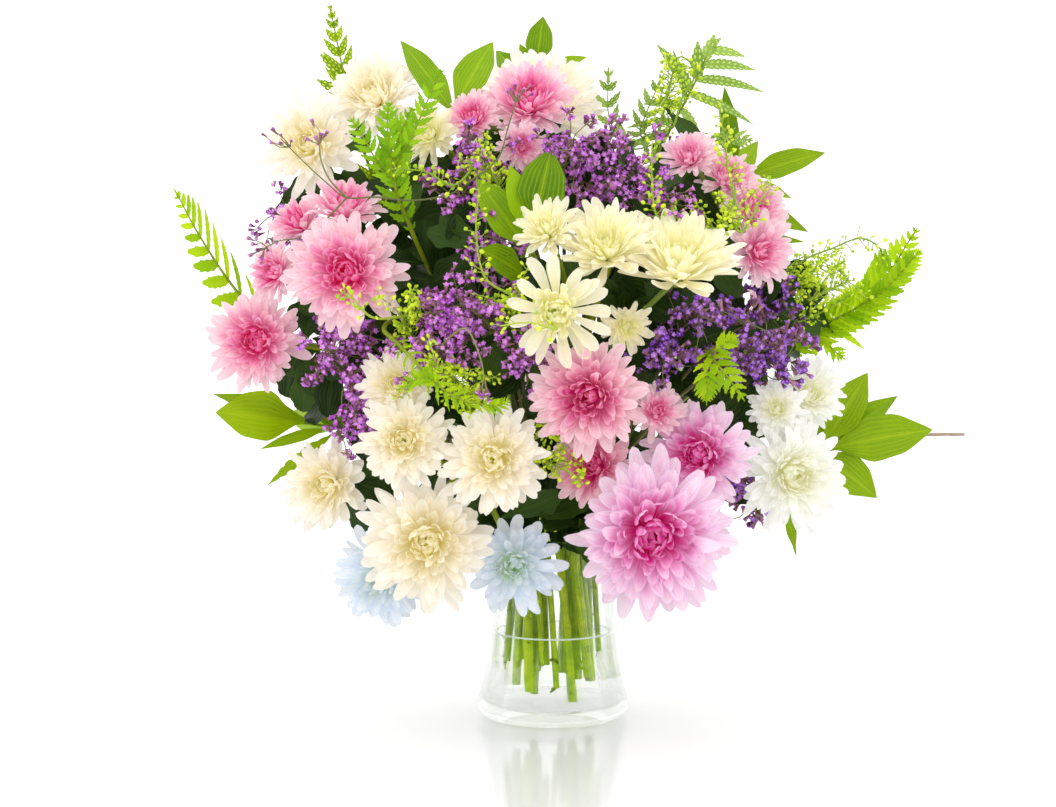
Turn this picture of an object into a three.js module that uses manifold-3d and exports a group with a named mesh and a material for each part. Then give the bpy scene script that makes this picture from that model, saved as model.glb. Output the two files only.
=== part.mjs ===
// A mixed bouquet of spray chrysanthemums in a clear conical glass vase, in millimetres.
// The origin is the centre of the vase's foot, +Z is up and -Y faces the viewer.
import * as THREE from 'three';
import { mergeVertices } from 'three/addons/utils/BufferGeometryUtils.js';
import Module from 'manifold-3d';

const wasm = await Module();
wasm.setup();

// ---- driving dimensions -------------------------------------------------------------------

const VASE = { height: 108, footRadius: 37, bellyRadius: 45.7, bellyHeight: 8, neckRadius: 37.4,
  neckHeight: 60, wall: 3, floor: 8, segments: 24 };
const WATER_LEVEL = 50;
const CLEARANCE = 0.3;
const NECK_LEVEL = 100;
const NECK_REACH = 24;
const STEM_TWIST = 0.35;
const STEM_SPLAY = 1.36;
const STEM_SPACING = 2.5;
const HOLE_CLEARANCE = 0.42;
const VIEW_DISTANCE = 1000;
const VIEW_HEIGHT = 220;
const BOUQUET_HEART = new THREE.Vector3(-5, 10, 205);
const BLADE_THICKNESS = 1.3;
const BLOOM_FULLNESS = 1.08;
const UP = new THREE.Vector3(0, 0, 1);

// ---- blooms: node, carrying stem, [seen x, seen z, depth y, radius, layers, petals a layer] ----
// Seen x and z are where the sight line to the bloom cuts the plane of the vase's axis. A front
// bloom ends with the way it looks, [x, z] for each unit toward the viewer; others look outward.

const BLOOMS = [
  ['bloom_white_top_left', 'white', 'stem_white_top', [[-105, 369, -40, 30, 4, 8, [-0.3, 0.5]]]],
  ['bloom_white_far_left', 'white', 'stem_white_top', [[-144, 342, -45, 31, 4, 8, [-0.2, 0.1]]]],
  ['bloom_white_top_inner', 'white', 'stem_white_top', [[-73, 348, -70, 20, 3, 7, [-0.4, 0.1]]]],
  ['bloom_white_top', 'white', 'stem_white_top', [[-8, 364, -15, 38, 4, 9, [0.1, 0.7]]]],
  ['bloom_white_centre_small', 'white', 'stem_white_centre', [[-3, 290, -128, 22, 3, 8, [-0.3, 0.7]]]],
  ['bloom_white_centre', 'white', 'stem_white_centre', [[32, 278, -125, 32, 4, 8, [-0.1, 0.75]]]],
  ['bloom_white_centre_right', 'white', 'stem_white_centre', [[75, 268, -120, 38, 4, 10, [0.1, 1.1]],
    [43, 234, -108, 17, 3, 7, [0.2, -0.3]]]],
  ['bloom_white_open', 'white', 'stem_white_centre', [[2, 243, -145, 34, 3, 8, [-0.1, -0.05]]]],
  ['bloom_white_left_pair', 'white', 'stem_white_left', [[-93, 197, -105, 25, 3, 8, [-0.15, 0.3]],
    [-89, 165, -118, 30, 4, 8, [0, 0.1]]]],
  ['bloom_white_left', 'white', 'stem_white_left', [[-134, 139, -70, 29, 4, 8, [-0.35, 0]]]],
  ['bloom_white_middle', 'white', 'stem_white_left', [[-35, 154, -125, 34, 4, 9, [-0.1, 0.1]]]],
  ['bloom_white_low_pair', 'white', 'stem_white_left', [[-76, 105, -105, 41, 5, 9, [0, 0]],
    [-101, 85, -70, 31, 3, 8, [-0.3, -0.3]]]],
  ['bloom_white_low', 'white', 'stem_white_left', [[-23, 91, -80, 31, 4, 8, [0, -0.05]]]],
  ['bloom_white_right_group', 'white', 'stem_white_right', [[152, 192, -60, 23, 3, 8, [0.2, 0.3]],
    [134, 184, -78, 19, 3, 7, [-0.2, 0.3]], [142, 145, -75, 34, 4, 9, [0.2, 0]]]],
  ['bloom_pink_top_group', 'pink', 'stem_pink_top', [[-14, 365, -55, 30, 4, 8, [-0.05, 0.7]],
    [-47, 357, -70, 18, 3, 7, [-0.3, 0.5]], [-19, 341, -80, 16, 3, 7, [0.1, 0]]]],
  ['bloom_pink_left_upper_pair', 'pink', 'stem_pink_left', [[-125, 302, -85, 25, 3, 8, [0.25, 1.3]],
    [-151, 294, -68, 20, 3, 7, [-0.7, 0.9]]]],
  ['bloom_pink_left_pair', 'pink', 'stem_pink_left', [[-123, 266, -105, 37, 4, 9, [-0.05, 0.05]],
    [-165, 266, -88, 19, 3, 7, [-0.7, 0.2]]]],
  ['bloom_pink_left', 'pink', 'stem_pink_left', [[-177, 225, -60, 31, 4, 9, [-0.1, 0]]]],
  ['bloom_pink_right_group', 'pink', 'stem_pink_top', [[82, 333, -75, 19, 3, 7, [-0.3, 0.7]],
    [103, 321, -62, 20, 3, 7, [0.3, 0.6]], [119, 302, -65, 22, 3, 8, [0.5, 0.4]],
    [122, 278, -80, 23, 3, 8, [0.4, 0]]]],
  ['bloom_pink_centre', 'pink', 'stem_pink_right', [[22, 192, -135, 36, 4, 9, [-0.2, -0.05]]]],
  ['bloom_pink_centre_low', 'pink', 'stem_pink_right', [[25, 150, -102, 28, 4, 8, [-0.3, 0.1]]]],
  ['bloom_pink_right_pair', 'pink', 'stem_pink_right', [[88, 157, -100, 36, 4, 9, [-0.35, 0]],
    [62, 182, -108, 18, 3, 7, [0.1, 0.3]]]],
  ['bloom_pink_large', 'pink', 'stem_pink_right', [[59, 110, -125, 50, 5, 10, [0.05, -0.05]]]],
  ['bloom_white_back_top', 'white', 'stem_white_back', [[-35, 335, 85, 30, 3, 8],
    [8, 358, 70, 28, 3, 8]]],
  ['bloom_white_back_left', 'white', 'stem_white_back', [[-50, 255, 125, 33, 3, 7],
    [-85, 220, 112, 30, 3, 8]]],
  ['bloom_white_back_right', 'white', 'stem_white_right', [[45, 250, 128, 33, 3, 7],
    [75, 205, 118, 31, 3, 7]]],
  ['bloom_pink_back_top', 'pink', 'stem_pink_back', [[40, 315, 105, 31, 3, 8]]],
  ['bloom_pink_back_left', 'pink', 'stem_pink_left', [[-135, 270, 70, 32, 3, 8]]],
  ['bloom_pink_back_low', 'pink', 'stem_pink_back', [[-15, 180, 125, 34, 3, 8]]],
  ['bloom_pink_back_right', 'pink', 'stem_pink_back', [[125, 235, 80, 32, 3, 8]]],
];

// ---- stems: radius, then the hub that the stem leans to and branches from [x, y, z] ------------

const SPRAYS = {
  stem_white_top: { radius: 2.8, hub: [-38, -18, 235] },
  stem_white_centre: { radius: 3, hub: [12, -52, 205] },
  stem_white_left: { radius: 3.2, hub: [-44, -48, 152] },
  stem_white_right: { radius: 3, hub: [70, 12, 158] },
  stem_pink_top: { radius: 2.8, hub: [36, -22, 245] },
  stem_pink_left: { radius: 3, hub: [-82, -18, 205] },
  stem_pink_right: { radius: 3.2, hub: [42, -52, 155] },
  stem_white_back: { radius: 2.8, hub: [-30, 45, 205] },
  stem_pink_back: { radius: 2.8, hub: [30, 52, 198] },
};
const BRANCH_RADIUS = 1.6;
const TWIG_RADIUS = 0.75;
const ROOT_REACH = 8;

// Flower and pod sprays: the stem's hub, then zones of twigs [seen x, seen z, depth y, half width,
// half height, twigs], each twig set with whorls of florets or pods.

const TUFTS = [
  { node: 'statice_centre', kind: 'statice', hub: [-28, -45, 215],
    zones: [[-38, 304, -96, 26, 26, 2], [-62, 268, -118, 20, 34, 2], [-52, 232, -125, 26, 20, 2],
      [-22, 216, -125, 16, 14, 1]] },
  { node: 'statice_left', kind: 'statice', hub: [-78, -35, 192],
    zones: [[-140, 228, -78, 14, 16, 2], [-122, 200, -88, 14, 22, 2], [-164, 310, -30, 10, 12, 1],
      [-120, 172, -88, 12, 12, 1], [-70, 300, 95, 24, 20, 1]] },
  { node: 'statice_top', kind: 'statice', hub: [18, -28, 262],
    zones: [[20, 345, -92, 20, 10, 2], [48, 335, -80, 22, 16, 2], [66, 312, -92, 14, 12, 1],
      [-48, 338, -88, 16, 10, 1], [70, 345, 60, 24, 18, 1]] },
  { node: 'statice_right', kind: 'statice', hub: [72, -30, 195],
    zones: [[108, 232, -95, 24, 22, 3], [130, 212, -70, 20, 18, 2], [146, 252, -40, 10, 8, 1],
      [118, 112, -58, 12, 14, 1], [80, 218, -108, 12, 12, 1], [95, 160, 90, 20, 18, 1]] },
  { node: 'pods_left', kind: 'pods', hub: [-48, -58, 190],
    zones: [[-88, 242, -118, 16, 10, 1], [-70, 204, -126, 18, 18, 2], [-26, 240, -122, 14, 14, 1],
      [8, 150, -112, 12, 34, 2]] },
  { node: 'pods_top', kind: 'pods', hub: [46, -56, 232],
    zones: [[-38, 342, -98, 14, 14, 1], [88, 300, -96, 22, 26, 2], [78, 380, -20, 12, 10, 1]] },
  { node: 'pods_right', kind: 'pods', hub: [86, 10, 202],
    zones: [[162, 258, -14, 24, 20, 3]] },
];

// Fern fronds: rachis points [seen x, seen z, depth y], widest leaflet, leaflet pairs, facing.

const FRONDS = [
  { node: 'fern_top_left', points: [[-92, 285, 12], [-112, 335, 2], [-124, 380, -8], [-133, 424, -14]],
    reach: 12, pairs: 11, bare: 0.3 },
  { node: 'fern_far_left', points: [[-152, 214, 10], [-190, 255, -8], [-212, 288, -14], [-226, 314, -16]],
    reach: 17, pairs: 10, bare: 0.25 },
  { node: 'fern_inner_left', points: [[-84, 290, -80], [-94, 316, -98], [-94, 340, -104], [-84, 364, -104]],
    reach: 13, pairs: 9, bare: 0.2 },
  { node: 'fern_top_right', points: [[48, 310, 14], [68, 348, 8], [84, 378, -2], [96, 406, -10]],
    reach: 30, pairs: 8, bare: 0.3 },
  { node: 'fern_far_right', points: [[118, 214, 22], [156, 232, 4], [188, 250, -12], [217, 292, -24]],
    reach: 17, pairs: 11, bare: 0.2 },
  { node: 'fern_front_right', points: [[90, 220, -92], [94, 216, -108], [104, 204, -116], [114, 190, -118]],
    reach: 13, pairs: 7, bare: 0.15 },
  { node: 'fern_front_left', points: [[-98, 228, -112], [-84, 214, -134], [-66, 196, -142], [-48, 186, -142]],
    reach: 11, pairs: 7, bare: 0.15 },
];

// Broad leaves on ruscus stems: stem points, then leaves [share of the stem, tip, width].

const RUSCUS = [
  { node: 'ruscus_left', points: [[-60, 150, 20], [-105, 168, 18], [-150, 176, 2]],
    leaves: [[0.98, [-203, 184, -12], 27], [0.6, [-152, 196, 28], 22], [0.75, [-166, 142, -6], 12],
      [0.7, [-158, 182, 62], 24]] },
  { node: 'ruscus_top', points: [[-20, 300, 30], [-16, 350, 32], [-10, 388, 18]],
    leaves: [[0.98, [-6, 418, 14], 18], [0.9, [-30, 402, 6], 17], [0.55, [-78, 402, 10], 16],
      [0.92, [20, 394, 8], 11], [0.6, [-44, 398, 12], 20], [0.8, [-34, 398, 48], 18]] },
  { node: 'ruscus_centre', points: [[-6, 230, -66], [-14, 262, -92], [-12, 292, -108]],
    leaves: [[0.98, [-1, 340, -118], 28], [0.75, [-46, 322, -104], 22], [0.5, [-44, 280, -128], 20],
      [0.9, [-26, 330, -114], 16]] },
  { node: 'ruscus_upper_right', points: [[62, 262, 30], [90, 300, 22], [112, 322, 4]],
    leaves: [[0.98, [162, 337, -8], 18], [0.9, [102, 376, 4], 13], [0.95, [142, 310, -22], 10],
      [0.75, [152, 290, 14], 15], [0.65, [122, 344, 44], 18]] },
  { node: 'ruscus_right', points: [[84, 148, 10], [128, 158, -4], [164, 160, -22]],
    leaves: [[0.95, [188, 204, -18], 20], [0.98, [227, 172, -28], 27], [0.9, [192, 132, -34], 21],
      [0.92, [206, 192, 2], 16], [0.55, [140, 100, -20], 11], [0.7, [186, 176, 34], 24]],
    twig: [[206, 168, -4], [246, 169, -2]] },
];

// ---- seeded random numbers ------------------------------------------------------------------

function seededRandom(seed) {
  let state = seed >>> 0;
  return () => {
    state = (Math.imul(state, 1664525) + 1013904223) >>> 0;
    return state / 4294967296;
  };
}

// ---- places ----------------------------------------------------------------------------------

// How large a thing at depth y is, against its size as seen in the plane of the vase's axis.
function seenScale(y) {
  return (y + VIEW_DISTANCE) / VIEW_DISTANCE;
}

// The point at depth y on the sight line that cuts the plane of the vase's axis at (x, z).
function seenPoint([x, z, y]) {
  const scale = seenScale(y);
  return new THREE.Vector3(x * scale, y, VIEW_HEIGHT + (z - VIEW_HEIGHT) * scale);
}

// ---- closed bodies ---------------------------------------------------------------------------

function solidOf(body) {
  const vertProperties = new Float32Array(body.points.flatMap((point) => point.toArray()));
  const triVerts = new Uint32Array(body.faces.flat());
  return new wasm.Manifold(new wasm.Mesh({ numProp: 3, vertProperties, triVerts }));
}

function solidOfGeometry(geometry) {
  const bare = geometry.clone();
  bare.deleteAttribute('normal');
  bare.deleteAttribute('uv');
  const merged = mergeVertices(bare, 1e-4);
  return new wasm.Manifold(new wasm.Mesh({
    numProp: 3,
    vertProperties: new Float32Array(merged.attributes.position.array),
    triVerts: new Uint32Array(merged.index.array),
  }));
}

function geometryOf(solid) {
  const mesh = solid.getMesh();
  const geometry = new THREE.BufferGeometry();
  geometry.setAttribute('position', new THREE.BufferAttribute(new Float32Array(mesh.vertProperties), 3));
  geometry.setIndex(new THREE.BufferAttribute(new Uint32Array(mesh.triVerts), 1));
  geometry.computeVertexNormals();
  return geometry;
}

// A skin through rows of points, closed by a flat cap at each end.
function skin(rows) {
  const sides = rows[0].length;
  const faces = [];
  for (let row = 0; row + 1 < rows.length; row += 1) {
    for (let side = 0; side < sides; side += 1) {
      const next = (side + 1) % sides;
      const a = row * sides + side;
      const b = row * sides + next;
      faces.push([a, b, b + sides], [a, b + sides, a + sides]);
    }
  }
  const last = (rows.length - 1) * sides;
  for (let side = 1; side + 1 < sides; side += 1) {
    faces.push([0, side + 1, side], [last, last + side, last + side + 1]);
  }
  return { points: rows.flat(), faces };
}

// Rows of section points swept along a path; `section(t, row)` gives [across, outward, ahead].
function sweep(path, facing, section) {
  const rows = path.map((point, row) => {
    const before = path[Math.max(row - 1, 0)];
    const after = path[Math.min(row + 1, path.length - 1)];
    const along = after.clone().sub(before).normalize();
    const across = facing.clone().cross(along).normalize();
    const outward = along.clone().cross(across);
    return section(row / (path.length - 1), row).map(([a, b, c = 0]) => point.clone()
      .addScaledVector(across, a).addScaledVector(outward, b).addScaledVector(along, c));
  });
  return skin(rows);
}

function ringSection(sides, radius, turn = 0) {
  return Array.from({ length: sides }, (_, side) => {
    const angle = (2 * Math.PI * side) / sides + turn;
    return [radius * Math.cos(angle), radius * Math.sin(angle)];
  });
}

function tube(path, radiusAt, sides, facing) {
  return sweep(path, facing, (t) => ringSection(sides, radiusAt(t)));
}

function bezier(start, startWay, end, endWay, steps) {
  return new THREE.CubicBezierCurve3(start, startWay, endWay, end).getPoints(steps);
}

// ---- free room: the cells of space that are already taken ------------------------------------------

const CELL = 1.3;
const SAMPLE_STEP = 0.9;
const AROUND = [[0, 0, 0], [1, 0, 0], [-1, 0, 0], [0, 1, 0], [0, -1, 0], [0, 0, 1], [0, 0, -1]];
const taken = new Set();

function cellKey(i, j, k) {
  return ((i + 512) * 1024 + (j + 512)) * 1024 + (k + 512);
}

// The cells that a body's faces run through, sampled closer than a cell.
function cellsOf(body) {
  const cells = new Map();
  const point = new THREE.Vector3();
  for (const [a, b, c] of body.faces) {
    const [pa, pb, pc] = [body.points[a], body.points[b], body.points[c]];
    const longest = Math.max(pa.distanceTo(pb), pb.distanceTo(pc), pc.distanceTo(pa));
    const steps = Math.max(1, Math.ceil(longest / SAMPLE_STEP));
    for (let u = 0; u <= steps; u += 1) {
      for (let v = 0; v <= steps - u; v += 1) {
        point.set(0, 0, 0).addScaledVector(pa, 1 - (u + v) / steps)
          .addScaledVector(pb, u / steps).addScaledVector(pc, v / steps);
        const cell = point.toArray().map((value) => Math.round(value / CELL));
        cells.set(cellKey(...cell), cell);
      }
    }
  }
  return cells;
}

function take(body) {
  for (const key of cellsOf(body).keys()) {
    taken.add(key);
  }
}

function isClear(body) {
  for (const [i, j, k] of cellsOf(body).values()) {
    if (AROUND.some(([di, dj, dk]) => taken.has(cellKey(i + di, j + dj, k + dk)))) {
      return false;
    }
  }
  return true;
}

// ---- vase and water -----------------------------------------------------------------------------

function vaseRadius(z) {
  const { bellyHeight, bellyRadius, neckRadius, neckHeight } = VASE;
  const rise = Math.min(Math.max((z - bellyHeight) / (neckHeight - bellyHeight), 0), 1);
  return neckRadius + (bellyRadius - neckRadius) * (1 - rise) ** 2;
}

function vaseGeometry() {
  const { height, footRadius, bellyRadius, bellyHeight, wall, floor, segments } = VASE;
  const profile = [[0, 0], [footRadius, 0]];
  for (const angle of [Math.PI / 4, Math.PI / 2]) {
    profile.push([footRadius + (bellyRadius - footRadius) * Math.sin(angle),
      bellyHeight * (1 - Math.cos(angle))]);
  }
  for (const z of [24, 42, height - wall / 2]) {
    profile.push([vaseRadius(z), z]);
  }
  profile.push([vaseRadius(height) - wall / 2, height]);
  for (const z of [height - wall / 2, 42, 24, floor + 4]) {
    profile.push([vaseRadius(z) - wall, z]);
  }
  profile.push([vaseRadius(floor) - wall - 5, floor], [0, floor]);
  const geometry = new THREE.LatheGeometry(profile.map(([r, z]) => new THREE.Vector2(r, z)), segments);
  return geometry.rotateX(Math.PI / 2);
}

function waterSolid(holes) {
  const { wall, floor, segments } = VASE;
  const inset = wall + CLEARANCE + 0.1;
  const profile = [[0, floor + CLEARANCE], [vaseRadius(floor) - inset - 5, floor + CLEARANCE]];
  for (const z of [floor + 4 + CLEARANCE, 24, 42, WATER_LEVEL]) {
    profile.push([vaseRadius(z) - inset, z]);
  }
  profile.push([0, WATER_LEVEL]);
  const geometry = new THREE.LatheGeometry(profile.map(([r, z]) => new THREE.Vector2(r, z)), segments);
  return holes.reduce((water, hole) => water.subtract(hole), solidOfGeometry(geometry.rotateX(Math.PI / 2)));
}

// ---- blooms: petals in layers round a core, each bloom kept inside its own share of the room -----

const BLOOM_BACK = 0.28;
const BLOOM_GAP = 0.6;
const FORK_DEPTH = 12;

const heads = BLOOMS.flatMap(([node, colour, stem, rows]) => rows.map((row) => {
  const [x, z, y, radius, layers, petals, look] = row;
  const centre = seenPoint([x, z, y]);
  const size = y < 30 ? radius * seenScale(y) * BLOOM_FULLNESS : radius;
  const facing = look ? new THREE.Vector3(look[0], -1, look[1]).normalize()
    : centre.clone().sub(BOUQUET_HEART).normalize();
  return { node, colour, stem, centre, size, facing, layers, petals };
}));

for (const head of heads) {
  head.walls = heads.filter((other) => other !== head).flatMap((other) => {
    const toOther = other.centre.clone().sub(head.centre);
    const distance = toOther.length();
    if (distance > head.size + other.size + 4) {
      return [];
    }
    const share = (distance ** 2 + head.size ** 2 - other.size ** 2) / (2 * distance);
    const margin = BLOOM_GAP;
    return [{ normal: toOther.normalize(), offset: share - margin }];
  });
  head.back = head.centre.clone().addScaledVector(head.facing, -BLOOM_BACK * head.size);
}

// Each bloom node hangs on one stalk; where it has several heads, the stalk forks to them.
const clusters = BLOOMS.map(([node, colour, stem]) => {
  const own = heads.filter((head) => head.node === node);
  const way = own.reduce((sum, head) => sum.add(head.facing), new THREE.Vector3()).normalize();
  const middle = own.reduce((sum, head) => sum.addScaledVector(head.back, 1 / own.length),
    new THREE.Vector3());
  const base = own.length > 1 ? middle.addScaledVector(way, -FORK_DEPTH) : middle;
  return { node, colour, stem, heads: own, way, base };
});

function forkBodies({ heads: own, way, base }) {
  if (own.length < 2) {
    return [];
  }
  const fork = base.clone().addScaledVector(way, 3);
  const facing = new THREE.Vector3(0.3, 0.2, 1);
  const arms = own.map((head) => {
    const seat = head.back.clone().addScaledVector(head.facing, 3);
    return tube([fork, seat], () => BRANCH_RADIUS * 0.9, 3, facing);
  });
  return [tube([base, fork.clone().addScaledVector(way, 1)], () => BRANCH_RADIUS, 4, facing), ...arms];
}

// How far a petal of the given reach may grow along a way before it meets a neighbour's share.
function clamped(head, way, reach) {
  return head.walls.reduce((most, { normal, offset }) => {
    const slope = way.dot(normal);
    return slope > 1e-6 ? Math.min(most, Math.max(offset, 3) / slope) : most;
  }, reach);
}

function bloomBody(head, random) {
  const { centre, size, facing, layers, petals } = head;
  const side = new THREE.Vector3(0, 0, 1).cross(facing).normalize();
  const over = facing.clone().cross(side);
  const slots = 2 * petals;
  const points = [];
  const put = (fromTop, turn, reach) => {
    const way = facing.clone().multiplyScalar(Math.cos(fromTop))
      .addScaledVector(side, Math.sin(fromTop) * Math.cos(turn))
      .addScaledVector(over, Math.sin(fromTop) * Math.sin(turn));
    points.push(centre.clone().addScaledVector(way, clamped(head, way, reach * size)));
  };
  put(0, 0, 0.42);
  for (let layer = 0; layer < layers; layer += 1) {
    const outer = (layer + 1) / layers;
    const fromTop = 0.24 + 1.24 * outer ** 0.9;
    const tip = 0.52 + 0.48 * outer;
    for (let slot = 0; slot < slots; slot += 1) {
      const isTip = (slot + layer) % 2 === 0;
      const turn = (2 * Math.PI * slot) / slots + (random() - 0.5) * 0.1;
      const reach = isTip ? tip * (0.92 + 0.12 * random()) : 0.44;
      put(fromTop - (isTip ? 0.1 : 0), turn, reach);
    }
  }
  put(Math.PI, 0, BLOOM_BACK);
  return { points, faces: bloomFaces(layers, petals) };
}

function bloomFaces(layers, petals) {
  const slots = 2 * petals;
  const faces = [];
  const at = (layer, slot) => 1 + layer * slots + (slot % slots);
  for (let slot = 0; slot < slots; slot += 1) {
    faces.push([0, at(0, slot), at(0, slot + 1)]);
    for (let layer = 0; layer + 1 < layers; layer += 1) {
      const corners = [at(layer, slot), at(layer + 1, slot), at(layer + 1, slot + 1), at(layer, slot + 1)];
      const shift = (slot + layer) % 2 === 0 ? 1 : 0;
      const [a, b, c, d] = corners.map((_, index) => corners[(index + shift) % 4]);
      faces.push([a, b, c], [a, c, d]);
    }
  }
  const pole = 1 + layers * slots;
  for (let slot = 0; slot < slots; slot += 1) {
    faces.push([at(layers - 1, slot), pole, at(layers - 1, slot + 1)]);
  }
  return faces;
}

// ---- stems through the neck -----------------------------------------------------------------------

const random = seededRandom(20);

const stemPlans = [
  ...Object.entries(SPRAYS).map(([node, plan]) => ({ node, radius: plan.radius, aim: plan.hub, sides: 5 })),
  ...TUFTS.map(({ node, hub, kind }) => ({ node, radius: kind === 'pods' ? 1.3 : 1.6, aim: hub, sides: 4 })),
  ...FRONDS.map(({ node, points }) => ({ node, radius: 1.2, aim: seenPoint(points[0]).toArray(), sides: 4 })),
  ...RUSCUS.map(({ node, points }) => ({ node, radius: 1.7, aim: seenPoint(points[0]).toArray(), sides: 4 })),
];

// Stems that lean outward stand at the rim side of the neck; then each is nudged off its neighbours.
for (const plan of stemPlans) {
  const [x, y, z] = plan.aim;
  const lean = Math.atan2(Math.hypot(x, y), z - NECK_LEVEL);
  const turn = Math.atan2(y, x);
  const reach = NECK_REACH * Math.min(1, 0.25 + 0.85 * Math.sin(Math.min(lean, Math.PI / 2)));
  plan.neck = new THREE.Vector2(reach * Math.cos(turn), reach * Math.sin(turn));
}
for (let round = 0; round < 400; round += 1) {
  stemPlans.forEach((plan, index) => stemPlans.slice(index + 1).forEach((other) => {
    const apart = plan.neck.clone().sub(other.neck);
    const wanted = plan.radius + other.radius + STEM_SPACING;
    const missing = wanted - apart.length();
    if (missing > 0) {
      const push = apart.setLength(missing * 0.25);
      plan.neck.add(push);
      other.neck.sub(push);
    }
  }));
  for (const plan of stemPlans) {
    plan.neck.clampLength(0, NECK_REACH + 1.5 - plan.radius);
  }
}

for (const plan of stemPlans) {
  const foot = plan.neck.clone().rotateAround(new THREE.Vector2(), STEM_TWIST).multiplyScalar(STEM_SPLAY);
  const low = new THREE.Vector3(foot.x, foot.y, 0);
  const high = new THREE.Vector3(plan.neck.x, plan.neck.y, NECK_LEVEL);
  const cut = plan.radius > 2.5 ? 0.1 + 0.17 * random() : 0.18 + 0.2 * random();
  plan.end = low.clone().lerp(high, cut);
  plan.top = high;
  plan.way = high.clone().sub(low).normalize();
  plan.facing = new THREE.Vector3(-plan.neck.y, plan.neck.x, 0).normalize();
  if (plan.facing.lengthSq() < 0.5) {
    plan.facing.set(1, 0, 0);
  }
}

function planOf(node) {
  return stemPlans.find((plan) => plan.node === node);
}

function holeSolid(plan) {
  const from = plan.end.clone().addScaledVector(plan.way, -CLEARANCE - 0.1);
  const to = plan.end.clone().addScaledVector(plan.way, WATER_LEVEL);
  return solidOf(tube([from, to], () => plan.radius + HOLE_CLEARANCE, plan.sides, plan.facing));
}

function shaken(random, size) {
  return new THREE.Vector3(random() - 0.5, random() - 0.5, random() - 0.5).multiplyScalar(2 * size);
}

// A path without its first stretch, which may touch the stem that it grows from.
function pastRoot(path, rooted) {
  const share = Math.min(0.9, rooted / path[0].distanceTo(path[1]));
  return [path[0].clone().lerp(path[1], share), ...path.slice(1)];
}

// A tube from one point to another that bends, by seeded tries, until it is clear.
function freeTube(name, { starts, way, to, toWay, radiusAt, sides, straight = 0, rooted = 0, steps = 4 }) {
  for (let attempt = 0; attempt < 300; attempt += 1) {
    const from = starts[attempt % starts.length];
    const reach = from.distanceTo(to);
    const bend = Math.min(attempt * 0.25, 40);
    const last = to.clone().addScaledVector(toWay, -straight);
    const path = bezier(from, from.clone().addScaledVector(way, reach * 0.35).add(shaken(random, bend)),
      last, last.clone().addScaledVector(toWay, -reach * 0.35).add(shaken(random, bend)), steps);
    const facing = path[0].clone().sub(last).cross(new THREE.Vector3(0.3, 0.2, 1)).normalize();
    if (isClear(tube(pastRoot(path, rooted), radiusAt, sides, facing))) {
      if (straight > 0) {
        path.push(to.clone());
      }
      return { path, body: tube(path, radiusAt, sides, facing) };
    }
  }
  throw new Error(`no clear way for ${name}`);
}

// A stem from its cut end in the water through the neck to a hub in the bouquet.
function mainStem(plan, hub, hubWay, taper, straight = 0) {
  const { node, end, top, way, radius, sides, facing } = plan;
  const rise = freeTube(node, { starts: [top], way, to: hub, toWay: hubWay, sides, straight,
    radiusAt: (t) => radius * (1 - taper * t) });
  const path = [end, end.clone().lerp(top, 0.6), ...rise.path];
  const body = tube(path, (t) => radius * (1 - taper * t ** 3), sides, facing);
  take(body);
  return { path, body };
}

// ---- leaves, fronds and flowering twigs --------------------------------------------------------------

const LEAF_ROWS = [[0, 0.07], [0.1, 0.08], [0.4, 0.96], [0.7, 0.8], [1, 0.03]];
const LEAF_FACING = new THREE.Vector3(0, -1, 0.35).normalize();
const FOLD = 0.16;

// A blade's section: edge, ridge, edge and keel, with the edges folded up by a share of the width.
function bladeSection(half, fold, ahead = 0) {
  return [[half, fold * half, ahead], [0, BLADE_THICKNESS / 2], [-half, fold * half, ahead],
    [0, -BLADE_THICKNESS / 2]];
}

function leafBody(base, tip, width) {
  const length = base.distanceTo(tip);
  const middle = base.clone().lerp(tip, 0.5).addScaledVector(LEAF_FACING, length * 0.1);
  const course = new THREE.QuadraticBezierCurve3(base, middle, tip);
  return sweep(LEAF_ROWS.map(([share]) => course.getPoint(share)), LEAF_FACING,
    (t, row) => bladeSection(width / 2 * LEAF_ROWS[row][1], FOLD));
}

// A thin arched blade whose outline is cut into slanted leaflets, longest below the middle.
function frondBody(rachis, reach, pairs, bare) {
  const rows = 2 * pairs + 1;
  const path = rachis.getPoints(rows - 1);
  return sweep(path, LEAF_FACING, (t, row) => {
    const spread = Math.sin(Math.PI * Math.min(1, bare + (1 - bare) * t) ** 0.8) ** 0.7;
    const half = row % 2 === 1 ? 1.2 + reach * spread : 0.9 * (1 - t) + 0.25;
    return bladeSection(half, 0.08, row % 2 === 1 ? half * 0.45 : 0);
  });
}

const TUFT_KINDS = {
  statice: { sides: 3, whorls: 3, reach: 7, tipReach: 4.6, bare: 0.3 },
  pods: { sides: 3, whorls: 3, reach: 5, tipReach: 3.2, bare: 0.35 },
};

// The point that lies a share of the way back from a path's tip, counted in its steps.
function pointAlong(path, share) {
  const place = (path.length - 1) * (1 - share);
  const step = Math.min(Math.floor(place), path.length - 2);
  return path[step].clone().lerp(path[step + 1], place - step);
}

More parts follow.
